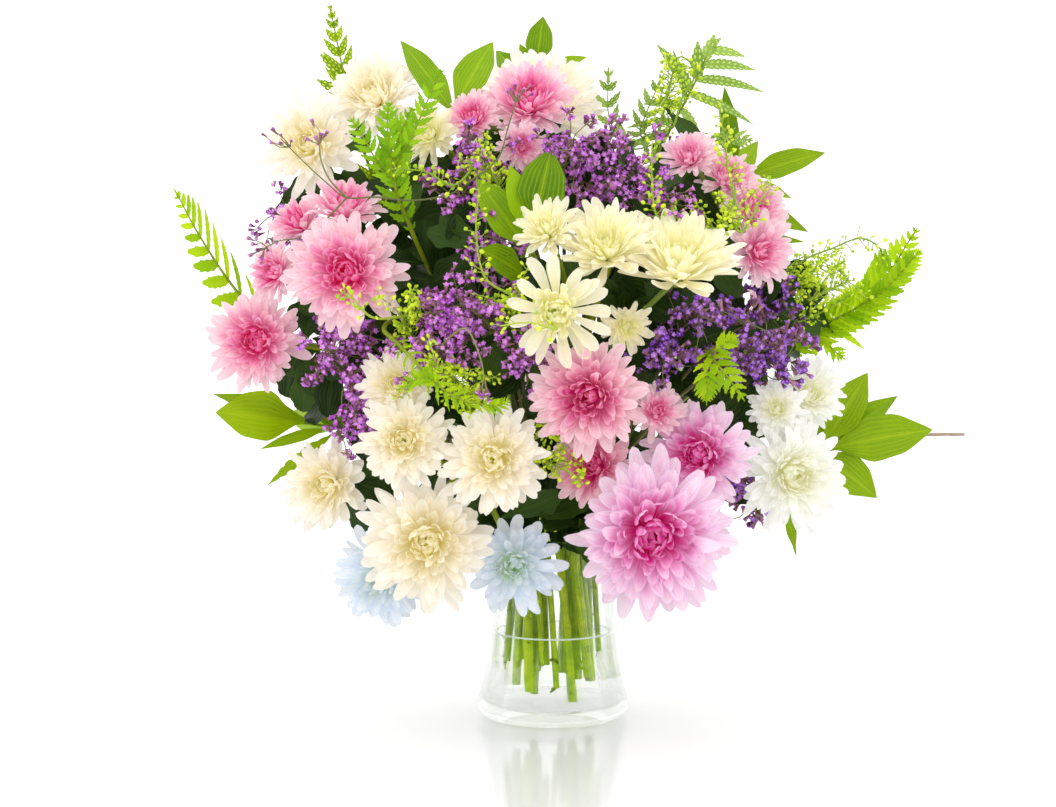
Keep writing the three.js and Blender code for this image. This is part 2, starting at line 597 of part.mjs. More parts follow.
// A twig from the stem into a zone, set with whorls that alternate by half a step.
function tuftTwig(name, kind, stemPath, [x, z, y, halfWidth, halfHeight]) {
  const rows = 2 * kind.whorls + 1;
  for (let attempt = 0; attempt < 600; attempt += 1) {
    const angle = 2 * Math.PI * random();
    const spread = Math.sqrt(random());
    const end = seenPoint([x + halfWidth * spread * Math.cos(angle),
      z + halfHeight * spread * Math.sin(angle), y + 16 * (random() - 0.5)]);
    const start = pointAlong(stemPath, 0.3 * random());
    const out = end.clone().sub(start);
    const side = new THREE.Vector3(0, 0, 1).cross(out).normalize();
    const bow = side.multiplyScalar((random() - 0.5) * 0.5 * out.length());
    const curve = new THREE.QuadraticBezierCurve3(start, start.clone().lerp(end, 0.55).add(bow)
      .addScaledVector(UP, 0.08 * out.length()), end);
    const first = 1 - Math.min(1 - kind.bare, 34 / out.length());
    const path = [curve.getPoint(0), curve.getPoint(first * 0.5),
      ...Array.from({ length: rows }, (_, row) => curve.getPoint(first + (1 - first) * row / (rows - 1)))];
    const facing = side.clone().cross(out).normalize();
    const body = sweep(path, facing, (t, row) => {
      const whorl = row - 2;
      const along = whorl / (rows - 1);
      const radius = whorl > 0 && whorl % 2 === 1
        ? kind.reach + (kind.tipReach - kind.reach) * along : TWIG_RADIUS;
      return ringSection(kind.sides, radius, whorl % 4 === 1 ? 0.5 : -0.5);
    });
    const envelope = sweep(pastRoot(path, ROOT_REACH), facing,
      (t, row) => ringSection(kind.sides, row > 2 && row % 2 === 1 ? kind.reach : TWIG_RADIUS));
    if (isClear(envelope)) {
      return body;
    }
  }
  throw new Error(`no clear twig for ${name} at ${x}, ${z}`);
}

// ---- materials --------------------------------------------------------------------------------------

function finish(color, roughness, options = {}) {
  return new THREE.MeshStandardMaterial({ color, roughness, metalness: 0, ...options });
}

const glass = finish('#f2f7f6', 0.05, { transparent: true, opacity: 0.35 });
const clearWater = finish('#e6f0ea', 0.05, { transparent: true, opacity: 0.35 });
const petalColour = { white: finish('#f3ead2', 0.75), pink: finish('#ec8fbd', 0.75) };
const stemGreen = finish('#8b9929', 0.6);
const fernGreen = finish('#94cb0f', 0.65);
const leafGreen = finish('#6f9a12', 0.4);
const purple = finish('#8a4fc0', 0.8);
const podGreen = finish('#b2c93c', 0.6);

// ---- build ------------------------------------------------------------------------------------------

const bouquet = new THREE.Group();

function addNode(name, shape, material) {
  const geometry = shape.isBufferGeometry ? shape : geometryOf(shape);
  const mesh = new THREE.Mesh(geometry, material);
  mesh.name = name;
  bouquet.add(mesh);
}

function joined(bodies) {
  return wasm.Manifold.union(bodies.map(solidOf));
}

addNode('vase', vaseGeometry(), glass);
addNode('water', waterSolid(stemPlans.map(holeSolid)), clearWater);

for (const cluster of clusters) {
  const bodies = [...cluster.heads.map((head) => bloomBody(head, random)), ...forkBodies(cluster)];
  bodies.forEach(take);
  addNode(cluster.node, joined(bodies), petalColour[cluster.colour]);
}

for (const plan of stemPlans) {
  const below = plan.top.clone().addScaledVector(plan.way, -6);
  take(tube([plan.end, below], () => plan.radius, plan.sides, plan.facing));
}

// Fronds and leaves keep their places, and the stems find their way round them.
const fixedParts = new Map();

for (const { node, points, reach, pairs, bare } of FRONDS) {
  const course = new THREE.CatmullRomCurve3(points.map(seenPoint));
  const blade = frondBody(course, reach, pairs, bare);
  take(blade);
  fixedParts.set(node, { course, bodies: [blade], colour: fernGreen });
}

for (const { node, points, leaves, twig } of RUSCUS) {
  const course = new THREE.CatmullRomCurve3(points.map(seenPoint));
  const facing = new THREE.Vector3(0.2, 0.3, 1);
  const bodies = [tube(course.getPoints(3), (t) => 1.4 - 0.5 * t, 4, facing)];
  if (twig) {
    const way = new THREE.CatmullRomCurve3([course.getPoint(0.96), ...twig.map(seenPoint)]);
    bodies.push(tube(way.getPoints(3), (t) => 1.5 - 0.6 * t, 4, facing));
  }
  for (const [along, tip, width] of leaves) {
    bodies.push(leafBody(course.getPoint(along), seenPoint(tip), width));
  }
  bodies.forEach(take);
  fixedParts.set(node, { course, bodies, colour: leafGreen });
}

for (const [node, { hub }] of Object.entries(SPRAYS)) {
  const plan = planOf(node);
  const hubPoint = new THREE.Vector3(...hub);
  const hubWay = hubPoint.clone().sub(plan.top).normalize();
  const main = mainStem(plan, hubPoint, hubWay, 0.45);
  const bodies = [main.body];
  for (const cluster of clusters.filter((candidate) => candidate.stem === node)) {
    const starts = [0, 0.12, 0.24, 0.06, 0.18].map((share) => pointAlong(main.path, share));
    const to = cluster.base.clone().addScaledVector(cluster.way, -CLEARANCE);
    const way = hubWay.clone().add(to.clone().sub(starts[0]).normalize()).normalize();
    const branch = freeTube(cluster.node, { starts, way, to, toWay: cluster.way,
      radiusAt: () => BRANCH_RADIUS, sides: 3, straight: 4, rooted: ROOT_REACH, steps: 4 });
    take(branch.body);
    bodies.push(branch.body);
  }
  addNode(node, joined(bodies), stemGreen);
}

for (const [node, { course, bodies, colour }] of fixedParts) {
  const stalk = mainStem(planOf(node), course.getPoint(0), course.getTangent(0), 0.2, 7);
  addNode(node, joined([stalk.body, ...bodies]), colour);
}

for (const { node, kind, hub, zones } of TUFTS) {
  const plan = planOf(node);
  const hubPoint = new THREE.Vector3(...hub);
  const hubWay = hubPoint.clone().sub(plan.top).normalize();
  const main = mainStem(plan, hubPoint, hubWay, 0.3);
  const bodies = [main.body];
  for (const zone of zones) {
    for (let count = 0; count < zone[5]; count += 1) {
      const twig = tuftTwig(node, TUFT_KINDS[kind], main.path, zone);
      take(twig);
      bodies.push(twig);
    }
  }
  addNode(node, joined(bodies), kind === 'pods' ? podGreen : purple);
}

export default bouquet;
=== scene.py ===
"""Finer looks for a mixed bouquet of spray chrysanthemums in a clear conical glass vase.

Lengths are millimetres until a mesh is built. The origin is the centre of the vase's foot,
+Z is up and -Y faces the viewer, as in the part's source.
"""
import math

import bpy
import numpy as np
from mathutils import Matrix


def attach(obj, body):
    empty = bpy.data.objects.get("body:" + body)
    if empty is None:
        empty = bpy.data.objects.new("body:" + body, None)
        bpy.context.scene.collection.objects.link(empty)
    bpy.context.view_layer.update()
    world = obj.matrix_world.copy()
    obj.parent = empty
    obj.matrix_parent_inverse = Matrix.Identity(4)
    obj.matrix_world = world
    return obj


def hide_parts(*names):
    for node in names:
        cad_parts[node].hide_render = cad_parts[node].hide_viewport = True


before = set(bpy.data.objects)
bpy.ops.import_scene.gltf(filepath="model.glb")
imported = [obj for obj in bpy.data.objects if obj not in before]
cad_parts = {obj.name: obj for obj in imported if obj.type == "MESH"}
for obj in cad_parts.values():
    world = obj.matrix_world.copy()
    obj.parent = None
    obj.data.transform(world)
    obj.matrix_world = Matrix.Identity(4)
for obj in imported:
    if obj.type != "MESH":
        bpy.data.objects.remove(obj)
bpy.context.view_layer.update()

MM = 0.001
UP = np.array([0.0, 0.0, 1.0])
TO_VIEWER = np.array([0.0, -1.0, 0.0])
SLANT = np.array([0.3, 0.2, 1.0])

# ---- camera: at the bouquet's own height, one metre away ----

IMAGE_WIDTH = 1056
MM_PER_PIXEL = 0.6
SENSOR_WIDTH = 36.0
VIEW_DISTANCE = 1000.0
VIEW_HEIGHT = 220.0
AIM = np.array([-15.0, 0.0, 187.5])

camera_data = bpy.data.cameras.new("camera")
camera_data.sensor_width = SENSOR_WIDTH
camera_data.clip_start = 0.05
camera_data.clip_end = 50.0
camera = bpy.data.objects.new("camera", camera_data)
bpy.context.scene.collection.objects.link(camera)
camera.location = (0.0, -VIEW_DISTANCE * MM, VIEW_HEIGHT * MM)
sight = AIM - np.array([0.0, -VIEW_DISTANCE, VIEW_HEIGHT])
camera_data.lens = SENSOR_WIDTH * float(np.linalg.norm(sight)) / (IMAGE_WIDTH * MM_PER_PIXEL)
camera.rotation_mode = "XYZ"
camera.rotation_euler = (math.pi / 2 + math.atan2(sight[2], math.hypot(sight[0], sight[1])), 0.0,
                         -math.atan2(sight[0], sight[1]))
bpy.context.scene.camera = camera


# ---- small vector tools ----

def unit(v):
    return v / np.maximum(np.linalg.norm(v, axis=-1, keepdims=True), 1e-12)


def circle(count):
    return np.linspace(0, 2 * np.pi, count, endpoint=False)


def stacked(*parts):
    return np.stack(np.broadcast_arrays(*parts), -1)


def turned(first, second, angle):
    """Ways that swing from the first way toward the second by each angle."""
    return first * np.cos(angle)[:, None] + second * np.sin(angle)[:, None]


def length_of(path):
    return np.linalg.norm(np.diff(path, axis=0), axis=1).sum()


def on(path, share):
    """The path's point at a share of its steps."""
    return path[int(share * (len(path) - 1))]


def seen(x, z, y):
    """The point at depth y on the sight line through x, z in the plane of the vase's axis."""
    scale = (y + VIEW_DISTANCE) / VIEW_DISTANCE
    return np.array([x * scale, y, VIEW_HEIGHT + (z - VIEW_HEIGHT) * scale])


def seen_all(points):
    return [seen(*point) for point in points]


def spline(points, count):
    """Points along a centripetal Catmull-Rom curve, evenly spaced in its parameter."""
    points = np.asarray(points, float)
    ends = [2 * points[0] - points[1], *points, 2 * points[-1] - points[-2]]
    out = []
    for t in np.linspace(0, len(points) - 1, count):
        index = min(int(t), len(points) - 2)
        share = t - index
        p0, p1, p2, p3 = ends[index:index + 4]
        d0, d1, d2 = (max(np.linalg.norm(b - a), 1e-6) ** 0.5 for a, b in ((p0, p1), (p1, p2), (p2, p3)))
        m1 = ((p1 - p0) / d0 - (p2 - p0) / (d0 + d1) + (p2 - p1) / d1) * d1
        m2 = ((p2 - p1) / d1 - (p3 - p1) / (d1 + d2) + (p3 - p2) / d2) * d1
        a = 2 * p1 - 2 * p2 + m1 + m2
        b = -3 * p1 + 3 * p2 - 2 * m1 - m2
        out.append(a * share ** 3 + b * share ** 2 + m1 * share + p1)
    return np.array(out)


def smooth_path(points, step=2.2):
    return spline(points, max(int(length_of(points) / step), 6))


def frames_along(path, facing):
    """Unit vectors along, across and outward at each point of a path."""
    along = unit(np.gradient(path, axis=0))
    across = unit(np.cross(facing, along))
    return along, across, np.cross(along, across)


# ---- meshes ----

class Shape:
    """Gathers faces whose vertices carry a uv and four numbers for the shaders."""

    def __init__(self):
        self.points, self.uvs, self.values = [], [], []
        self.quads, self.tris = [], []
        self.count = 0

    def add(self, points, faces, uvs, values):
        points = np.asarray(points, float).reshape(-1, 3)
        size = len(points)
        self.points.append(points)
        self.uvs.append(np.broadcast_to(np.asarray(uvs, float), (size, 2)))
        self.values.append(np.broadcast_to(np.asarray(values, float), (size, 4)))
        for group in faces if isinstance(faces, tuple) else (faces,):
            group = np.asarray(group, int)
            (self.quads if group.shape[1] == 4 else self.tris).append(group + self.count)
        self.count += size

    def grid(self, points, uvs=0.0, values=0.0, wrap=False):
        """Adds rows of points as quads; points is (copies, rows, columns, 3)."""
        copies, rows, columns = points.shape[:3]
        cell = columns if wrap else columns - 1
        row, column = np.meshgrid(np.arange(rows - 1), np.arange(cell), indexing="ij")
        after = (column + 1) % columns
        base = np.stack([row * columns + column, row * columns + after,
                         (row + 1) * columns + after, (row + 1) * columns + column], -1).reshape(-1, 4)
        faces = (base[None] + (np.arange(copies) * rows * columns)[:, None, None]).reshape(-1, 4)
        full = (copies, rows, columns)
        self.add(points, faces, np.broadcast_to(uvs, full + (2,)).reshape(-1, 2),
                 np.broadcast_to(values, full + (4,)).reshape(-1, 4))

    def scatter(self, template, places, turns, sizes, chances):
        """Adds a copy of a template at each place, turned by 3x3 matrices and scaled."""
        points, faces, own = template
        moved = np.einsum("nij,vj->nvi", turns, points) * sizes[:, None, None] + places[:, None]
        steps = (np.arange(len(places)) * len(points))[:, None, None]
        groups = tuple((np.asarray(g)[None] + steps).reshape(-1, len(g[0])) for g in faces)
        mixed = np.broadcast_to(own[None], (len(places),) + own.shape).copy()
        mixed[:, :, 2] = chances[:, None]
        self.add(moved, groups, 0.0, mixed.reshape(-1, 4))

    def build(self, name, material, slot, replaces=()):
        """Makes the mesh object, in metres, riding on the root body."""
        points = np.concatenate(self.points) * MM
        groups = [np.concatenate(g) for g in (self.quads, self.tris) if g]
        loops = np.concatenate([g.ravel() for g in groups])
        totals = np.concatenate([np.full(len(g), g.shape[1]) for g in groups])
        starts = np.concatenate([[0], np.cumsum(totals)[:-1]])
        mesh = bpy.data.meshes.new(name)
        mesh.vertices.add(len(points))
        mesh.vertices.foreach_set("co", points.astype(np.float32).ravel())
        mesh.loops.add(len(loops))
        mesh.loops.foreach_set("vertex_index", loops.astype(np.int32))
        mesh.polygons.add(len(totals))
        mesh.polygons.foreach_set("loop_start", starts.astype(np.int32))
        mesh.polygons.foreach_set("use_smooth", np.ones(len(totals), bool))
        mesh.update(calc_edges=True)
        layer = mesh.uv_layers.new(name="uv")
        layer.data.foreach_set("uv", np.concatenate(self.uvs)[loops].astype(np.float32).ravel())
        tint = mesh.attributes.new("tint", "FLOAT_COLOR", "POINT")
        tint.data.foreach_set("color", np.concatenate(self.values).astype(np.float32).ravel())
        mesh.validate()
        mesh.materials.append(material)
        piece = bpy.data.objects.new(name, mesh)
        bpy.context.scene.collection.objects.link(piece)
        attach(piece, "root")
        if replaces:
            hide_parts(*replaces)


def tube(shape, path, radii, sides=8, value=0.5, ridges=0.0, cap=True):
    """Adds a round tube along a path; the values are share along, height in decimetres, value, cap."""
    path = np.asarray(path, float)
    radii = np.broadcast_to(np.asarray(radii, float), (len(path),))
    _, across, outward = frames_along(path, SLANT)
    angle = circle(sides)
    ring = radii[:, None] * (1 + ridges * np.cos(6 * angle)[None])
    points = (path[:, None] + across[:, None] * (ring * np.cos(angle))[..., None]
              + outward[:, None] * (ring * np.sin(angle))[..., None])
    share = np.linspace(0, 1, len(path))
    uvs = stacked(angle[None] / (2 * np.pi), share[:, None])
    values = stacked(share[:, None], path[:, 2:3] * 0.01, value, 0.0)
    values = np.broadcast_to(values, points.shape[:2] + (4,))
    shape.grid(points[None], uvs[None], values[None], wrap=True)
    if cap:
        for row, flip in ((0, 1), (-1, 0)):
            ends = np.concatenate([points[row], path[row][None]])
            fan = np.array([[i, (i + 1) % sides, sides] for i in range(sides)])
            if flip:
                fan = fan[:, ::-1]
            shape.add(ends, fan, (0.5, 0.5), (share[row], path[row][2] * 0.01, value, 1.0))


def add_rod(shape, path, thick, thin, sides, rng, ridges=0.0, cap=True):
    """A tube that grows thinner evenly."""
    tube(shape, path, np.linspace(thick, thin, len(path)), sides, rng.random(), ridges, cap)


# ---- materials: nodes only, colours as display values of 0 to 255 ----

def linear(display):
    parts = [c / 255 for c in display]
    return tuple(c / 12.92 if c <= 0.04045 else ((c + 0.055) / 1.055) ** 2.4 for c in parts) + (1.0,)


class Nodes:
    """Short ways to add and join shader nodes of one material."""

    def __init__(self, name):
        self.material = bpy.data.materials.new(name)
        self.material.use_nodes = True
        self.tree = self.material.node_tree
        self.tree.nodes.clear()
        self.output = self.add("OutputMaterial")

    def add(self, kind, **settings):
        node = self.tree.nodes.new("ShaderNode" + kind)
        for key, value in settings.items():
            setattr(node, key, value)
        return node

    def put(self, socket, value):
        """Links a socket, or sets a number or a display colour."""
        if isinstance(value, bpy.types.NodeSocket):
            self.tree.links.new(value, socket)
        elif isinstance(value, tuple):
            socket.default_value = linear(value)
        elif value is not None:
            socket.default_value = value

    def fed(self, node, *values):
        """Puts values into a node's sockets in turn and gives its first output."""
        for socket, value in zip(node.inputs, values):
            self.put(socket, value)
        return node.outputs[0]

    def math(self, operation, a, b=0.0, clamp=False):
        return self.fed(self.add("Math", operation=operation, use_clamp=clamp), a, b)

    def times(self, a, b):
        return self.math("MULTIPLY", a, b)

    def plus(self, a, b, clamp=False):
        return self.math("ADD", a, b, clamp)

    def mix(self, share, a, b, blend="MIX"):
        node = self.add("Mix", data_type="RGBA", blend_type=blend)
        for index, value in ((0, share), (6, a), (7, b)):
            self.put(node.inputs[index], value)
        return node.outputs[2]

    def ramp(self, share, *stops):
        node = self.add("ValToRGB")
        elements = node.color_ramp.elements
        while len(elements) < len(stops):
            elements.new(0.5)
        for element, (place, colour) in zip(elements, stops):
            element.position = place
            element.color = linear(colour)
        return self.fed(node, share)

    def span(self, value, low, high, to_low, to_high):
        return self.fed(self.add("MapRange"), value, low, high, to_low, to_high)

    def noise(self, vector, scale, detail=2.0, rough=0.5):
        node = self.add("TexNoise")
        for key, value in (("Vector", vector), ("Scale", scale), ("Detail", detail), ("Roughness", rough)):
            self.put(node.inputs[key], value)
        return node.outputs["Fac"]

    def combine(self, x, y, z):
        return self.fed(self.add("CombineXYZ"), x, y, z)

    def tint(self):
        """The four numbers that each vertex carries."""
        attribute = self.add("Attribute", attribute_name="tint")
        parts = self.add("SeparateColor")
        self.put(parts.inputs[0], attribute.outputs["Color"])
        return (*parts.outputs[:3], attribute.outputs["Alpha"])

    def uv(self):
        parts = self.add("SeparateXYZ")
        self.put(parts.inputs[0], self.add("TexCoord").outputs["UV"])
        return parts.outputs[:2]

    def place(self):
        return self.add("TexCoord").outputs["Object"]

    def bump(self, height, strength, distance):
        node = self.add("Bump")
        for key, value in (("Strength", strength), ("Distance", distance), ("Height", height)):
            self.put(node.inputs[key], value)
        return node.outputs[0]

    def blend(self, share, first, second):
        node = self.add("MixShader")
        return self.fed(node, share, first, second)

    def surface(self, colour, roughness, normal=None, through=0.0, glow=0.0, **settings):
        """A Principled surface, with some light let through and spread inside where it is thin, and a
        painted glow: emission of its own colour that lifts its shade.
        """
        shader = self.add("BsdfPrincipled")
        self.put(shader.inputs["Base Color"], colour)
        self.put(shader.inputs["Roughness"], roughness)
        self.put(shader.inputs["Normal"], normal)
        for key, value in settings.items():
            shader.inputs[key.replace("_", " ")].default_value = value
        # Painted light: the surface glows with its own colour, though it is no lamp.
        if glow:
            self.put(shader.inputs["Emission Color"], colour)
            shader.inputs["Emission Strength"].default_value = glow
        last = shader.outputs[0]
        if through:
            thin = self.fed(self.add("BsdfTranslucent"), colour, normal)
            last = self.blend(through, last, thin)
        self.tree.links.new(last, self.output.inputs[0])
        return self.material


def petal_material(name, stops, glow, core, deep, middle, tip, rim, vein):
    """Petals: tint is layer from the centre, share along the petal, random, share from its midline."""
    n = Nodes("petal_" + name)
    layer, along, chance, aside = n.tint()
    u, v = n.uv()
    reach = n.plus(n.times(layer, 0.62), n.times(along, 0.42))
    jitter = n.times(n.math("SUBTRACT", chance, 0.5), 0.16)
    place = n.plus(reach, jitter, clamp=True)
    colour = n.ramp(place, *zip(stops, (core, deep, middle, tip)))
    streaks = n.noise(n.combine(n.times(u, 9.0), n.times(v, 0.9), n.times(chance, 37.0)), 1.6, 3.0)
    veins = n.span(streaks, 0.42, 0.66, 0.0, 0.42)
    colour = n.mix(veins, colour, vein, "MULTIPLY")
    edge = n.times(n.math("POWER", aside, 4.0), n.span(along, 0.3, 0.9, 0.0, 0.55))
    colour = n.mix(edge, colour, rim)
    shade = n.span(chance, 0.0, 1.0, 0.93, 1.03)
    colour = n.mix(1.0, colour, n.combine(shade, shade, shade), "MULTIPLY")
    blotch = n.noise(n.place(), 140.0, 3.0)
    rough = n.span(blotch, 0.3, 0.7, 0.42, 0.6)
    normal = n.bump(n.plus(streaks, n.times(blotch, 0.3)), 0.35, 0.0006)
    # The petals glow with their own colour as painted light, lifting their shade.
    return n.surface(colour, rough, normal, through=0.34, glow=glow, Specular_IOR_Level=0.3)


def leaf_material(name, dark, light, vein, count, through, gloss, sori=None, glow=0.08):
    """Leaves with veins side by side along the blade; tint is as for petals."""
    n = Nodes(name)
    _, _, chance, aside = n.tint()
    u, v = n.uv()
    mottle = n.noise(n.place(), 60.0, 4.0, 0.6)
    body = n.plus(n.times(chance, 0.6), n.times(mottle, 0.5), clamp=True)
    colour = n.ramp(body, (0.15, dark), (0.85, light))
    wave = n.math("SINE", n.times(u, count * 2 * math.pi))
    line = n.math("POWER", n.math("ABSOLUTE", wave), 6.0)
    midrib = n.span(aside, 0.0, 0.07, 1.0, 0.0)
    marks = n.math("MAXIMUM", n.times(line, 0.35), n.times(midrib, 0.7))
    colour = n.mix(marks, colour, vein)
    if sori:
        lengthwise = n.math("SUBTRACT", n.math("FRACT", v), 0.5)
        sideways = n.times(n.math("SUBTRACT", aside, 0.42), 1.5)
        spread = n.plus(n.math("POWER", lengthwise, 2.0), n.math("POWER", sideways, 2.0))
        dots = n.times(n.span(spread, 0.05, 0.1, 1.0, 0.0), 0.85)
        colour = n.mix(dots, colour, sori)
    rough = n.span(mottle, 0.3, 0.7, gloss - 0.06, gloss + 0.14)
    height = n.plus(n.times(line, -0.5), n.times(mottle, 0.4))
    # Leaves glow a little with their own colour as painted light, lifting their shade.
    return n.surface(colour, rough, n.bump(height, 0.4, 0.0006), through=through, glow=glow,
                     Specular_IOR_Level=0.2)


def speckled(name, dark, light, fleck, scale, rough=0.55, through=0.0, **settings):
    """Small parts: a ramp over chance and noise, with flecks; tint is share, along, random, fleck."""
    n = Nodes(name)
    _, _, chance, spot = n.tint()
    mottle = n.noise(n.place(), scale, 3.0, 0.6)
    body = n.plus(n.times(chance, 0.65), n.times(mottle, 0.45), clamp=True)
    colour = n.mix(spot, n.ramp(body, (0.2, dark), (0.85, light)), fleck)
    roughness = n.span(mottle, 0.3, 0.7, rough - 0.08, rough + 0.12)
    return n.surface(colour, roughness, n.bump(mottle, 0.3, 0.0004), through=through, **settings)


def stem_material():
    """Ridged green stems, pale at the cut, with painted light: lighter inside the glass and lighter still in
    the water, making up for the light that the glass and water hold back.
    """
    n = Nodes("stem_green")
    _, height, chance, cut = n.tint()
    u, v = n.uv()
    place = n.place()
    mottle = n.noise(place, 90.0, 4.0, 0.65)
    fibres = n.noise(n.combine(n.times(u, 30.0), n.times(v, 5.0), chance), 1.0, 3.0)
    body = n.plus(n.times(mottle, 0.5), n.times(fibres, 0.5), clamp=True)
    above = n.ramp(body, (0.3, (92, 122, 4)), (0.52, (148, 172, 10)), (0.75, (192, 206, 60)))
    # Painted light: the ramps for the stem inside the glass and under the water are lighter copies of its
    # colour.
    within = n.ramp(body, (0.34, (76, 118, 0)), (0.5, (164, 196, 0)), (0.66, (220, 232, 50)))
    painted_light_in_water = n.ramp(body, (0.34, (90, 150, 0)), (0.5, (186, 226, 0)), (0.66, (230, 246, 30)))
    colour = n.mix(n.span(height, 1.0, 1.2, 0.0, 1.0), within, above)
    colour = n.mix(n.span(height, 0.48, 0.5, 0.0, 1.0), painted_light_in_water, colour)
    colour = n.mix(n.times(cut, 0.8), colour, (214, 214, 150))
    scar = n.span(n.noise(place, 210.0, 2.0), 0.66, 0.72, 0.0, 0.6)
    colour = n.mix(scar, colour, (120, 92, 40))
    rough = n.span(mottle, 0.3, 0.7, 0.42, 0.62)
    normal = n.bump(n.plus(fibres, n.times(mottle, 0.5)), 0.5, 0.0006)
    return n.surface(colour, rough, normal, through=0.08, Specular_IOR_Level=0.4)


def clear_material(name, colour, index):
    """Clear glass or water with a faint unevenness, which lets lamp light in to what it holds."""
    n = Nodes(name)
    ripple = n.noise(n.place(), 24.0, 2.0)
    rough = n.span(ripple, 0.3, 0.7, 0.0, 0.012)
    n.surface(colour, rough, n.bump(ripple, 0.06, 0.0008), Transmission_Weight=1.0, IOR=index)
    solid = n.output.inputs[0].links[0].from_socket
    edgeward = n.add("LayerWeight")
    edgeward.inputs["Blend"].default_value = 0.3
    plain = n.fed(n.add("BsdfTransparent"), colour)
    share = n.span(edgeward.outputs["Facing"], 0.1, 0.98, 0.07, 0.55)
    n.tree.links.new(n.blend(share, plain, solid), n.output.inputs[0])
    return n.material


# Where the petal colours core, deep, middle and tip stand between a head's centre and its rim.
PALE = (0.05, 0.2, 0.44, 0.8)
HOT = (0.14, 0.32, 0.54, 0.8)
PETAL_LOOKS = {
    # name: places of the colours, painted glow that lifts the petals' shade, core, deep, middle, tip, rim,
    # vein
    "cream": (PALE, 0.12, (236, 234, 70), (252, 245, 168), (254, 249, 224), (254, 251, 243),
              (255, 254, 252), (250, 234, 206)),
    "ivory": (PALE, 0.12, (220, 232, 60), (247, 248, 160), (253, 251, 214), (254, 251, 230),
              (255, 254, 252), (250, 238, 190)),
    "cool": (PALE, 0.08, (196, 236, 110), (232, 250, 204), (248, 253, 250), (249, 252, 255),
             (206, 226, 255), (220, 234, 254)),
    "milk": (PALE, 0.12, (242, 244, 120), (252, 251, 204), (253, 253, 238), (253, 254, 252),
             (255, 254, 252), (244, 240, 226)),
    "pink": (HOT, 0.11, (248, 8, 128), (248, 72, 170), (250, 174, 214), (255, 232, 236),
             (255, 244, 243), (244, 168, 210)),
    "blush": (HOT, 0.1, (246, 88, 166), (250, 146, 200), (251, 196, 222), (253, 232, 236),
              (255, 246, 244), (244, 184, 214)),
    "rose": (HOT, 0.09, (226, 4, 118), (240, 52, 156), (246, 160, 202), (253, 228, 232),
             (255, 240, 239), (240, 150, 198)),
    "lilac": (HOT, 0.1, (232, 0, 138), (246, 58, 184), (250, 184, 226), (254, 238, 247),
              (236, 233, 255), (244, 176, 224)),
}
PETALS = {name: petal_material(name, *look) for name, look in PETAL_LOOKS.items()}
STEM = stem_material()
CALYX = speckled("calyx_green", (70, 96, 24), (140, 164, 60), (190, 196, 110), 120.0)
# The florets glow with their own colour as painted light, lifting their shade.
PAPERY = dict(scale=160.0, rough=0.7, through=0.35, glow=0.3, Sheen_Weight=0.2)
FLORET = speckled("statice_purple", (176, 62, 196), (242, 168, 250), (252, 230, 252), **PAPERY)
FLORET_BLUE = speckled("statice_violet", (136, 60, 206), (214, 152, 246), (248, 222, 240), **PAPERY)
CUP = speckled("statice_cup", (112, 62, 84), (196, 150, 158), (226, 200, 196), 160.0, 0.75, 0.2)
TWIG = speckled("statice_twig", (92, 96, 50), (140, 140, 84), (150, 110, 80), 130.0)
# The pods glow with their own colour as painted light, lifting their shade.
POD = speckled("pod_green", (158, 196, 6), (224, 238, 56), (240, 236, 96), 200.0, 0.42, 0.2, glow=0.22)
PODSTALK = speckled("pod_stalk", (128, 166, 24), (196, 216, 76), (206, 196, 96), 120.0, through=0.1)
FERN = leaf_material("fern_lime", (120, 176, 0), (196, 228, 24), (170, 200, 30), 1.0, 0.35, 0.5)
FERN_DEEP = leaf_material("fern_green", (84, 146, 0), (156, 206, 20), (170, 206, 50), 1.0, 0.3, 0.46)
FERN_SORI = leaf_material("fern_spored", (86, 134, 0), (158, 190, 20), (130, 160, 30), 1.0, 0.35, 0.5,
                          (232, 236, 90))
FERN_SORI_DEEP = leaf_material("fern_spored_deep", (96, 140, 34), (164, 196, 90), (140, 172, 76), 1.0,
                               0.32, 0.46, (204, 222, 128))
LEAF = leaf_material("ruscus_green", (78, 122, 0), (152, 186, 0), (176, 202, 20), 5.0, 0.25, 0.3)
LEAF_DARK = leaf_material("ruscus_deep", (72, 118, 0), (150, 190, 0), (172, 204, 24), 5.0, 0.2, 0.28)
# Near-black leaves: real foliage whose dark colour is painted shade inside the bouquet.
PAINTED_SHADE_FOLIAGE = leaf_material("foliage_painted_shade", (18, 40, 12), (58, 88, 24), (74, 104, 36), 4.0, 0.12, 0.5, glow=0)
BARK = speckled("twig_bark", (120, 92, 76), (206, 184, 164), (96, 70, 58), 260.0, 0.8)
GLASS = clear_material("clear_glass", (253, 254, 253), 1.4)
# A painted highlight: a glowing white ring stands for the bright edge of the water at the glass.
BRIM_HIGHLIGHT = speckled("water_brim_painted_highlight", (246, 250, 248), (255, 255, 255), (255, 255, 255), 60.0, 0.25, 0.5, glow=0.3)
WATER = clear_material("clear_water", (254, 254, 253), 1.33)

# ---- blooms ----
# node: tint, then heads (seen x, seen z, depth y, radius, form, look, tint of its own). A look is
# (x, z) for each unit toward the viewer; heads with none face away from the bouquet's heart.

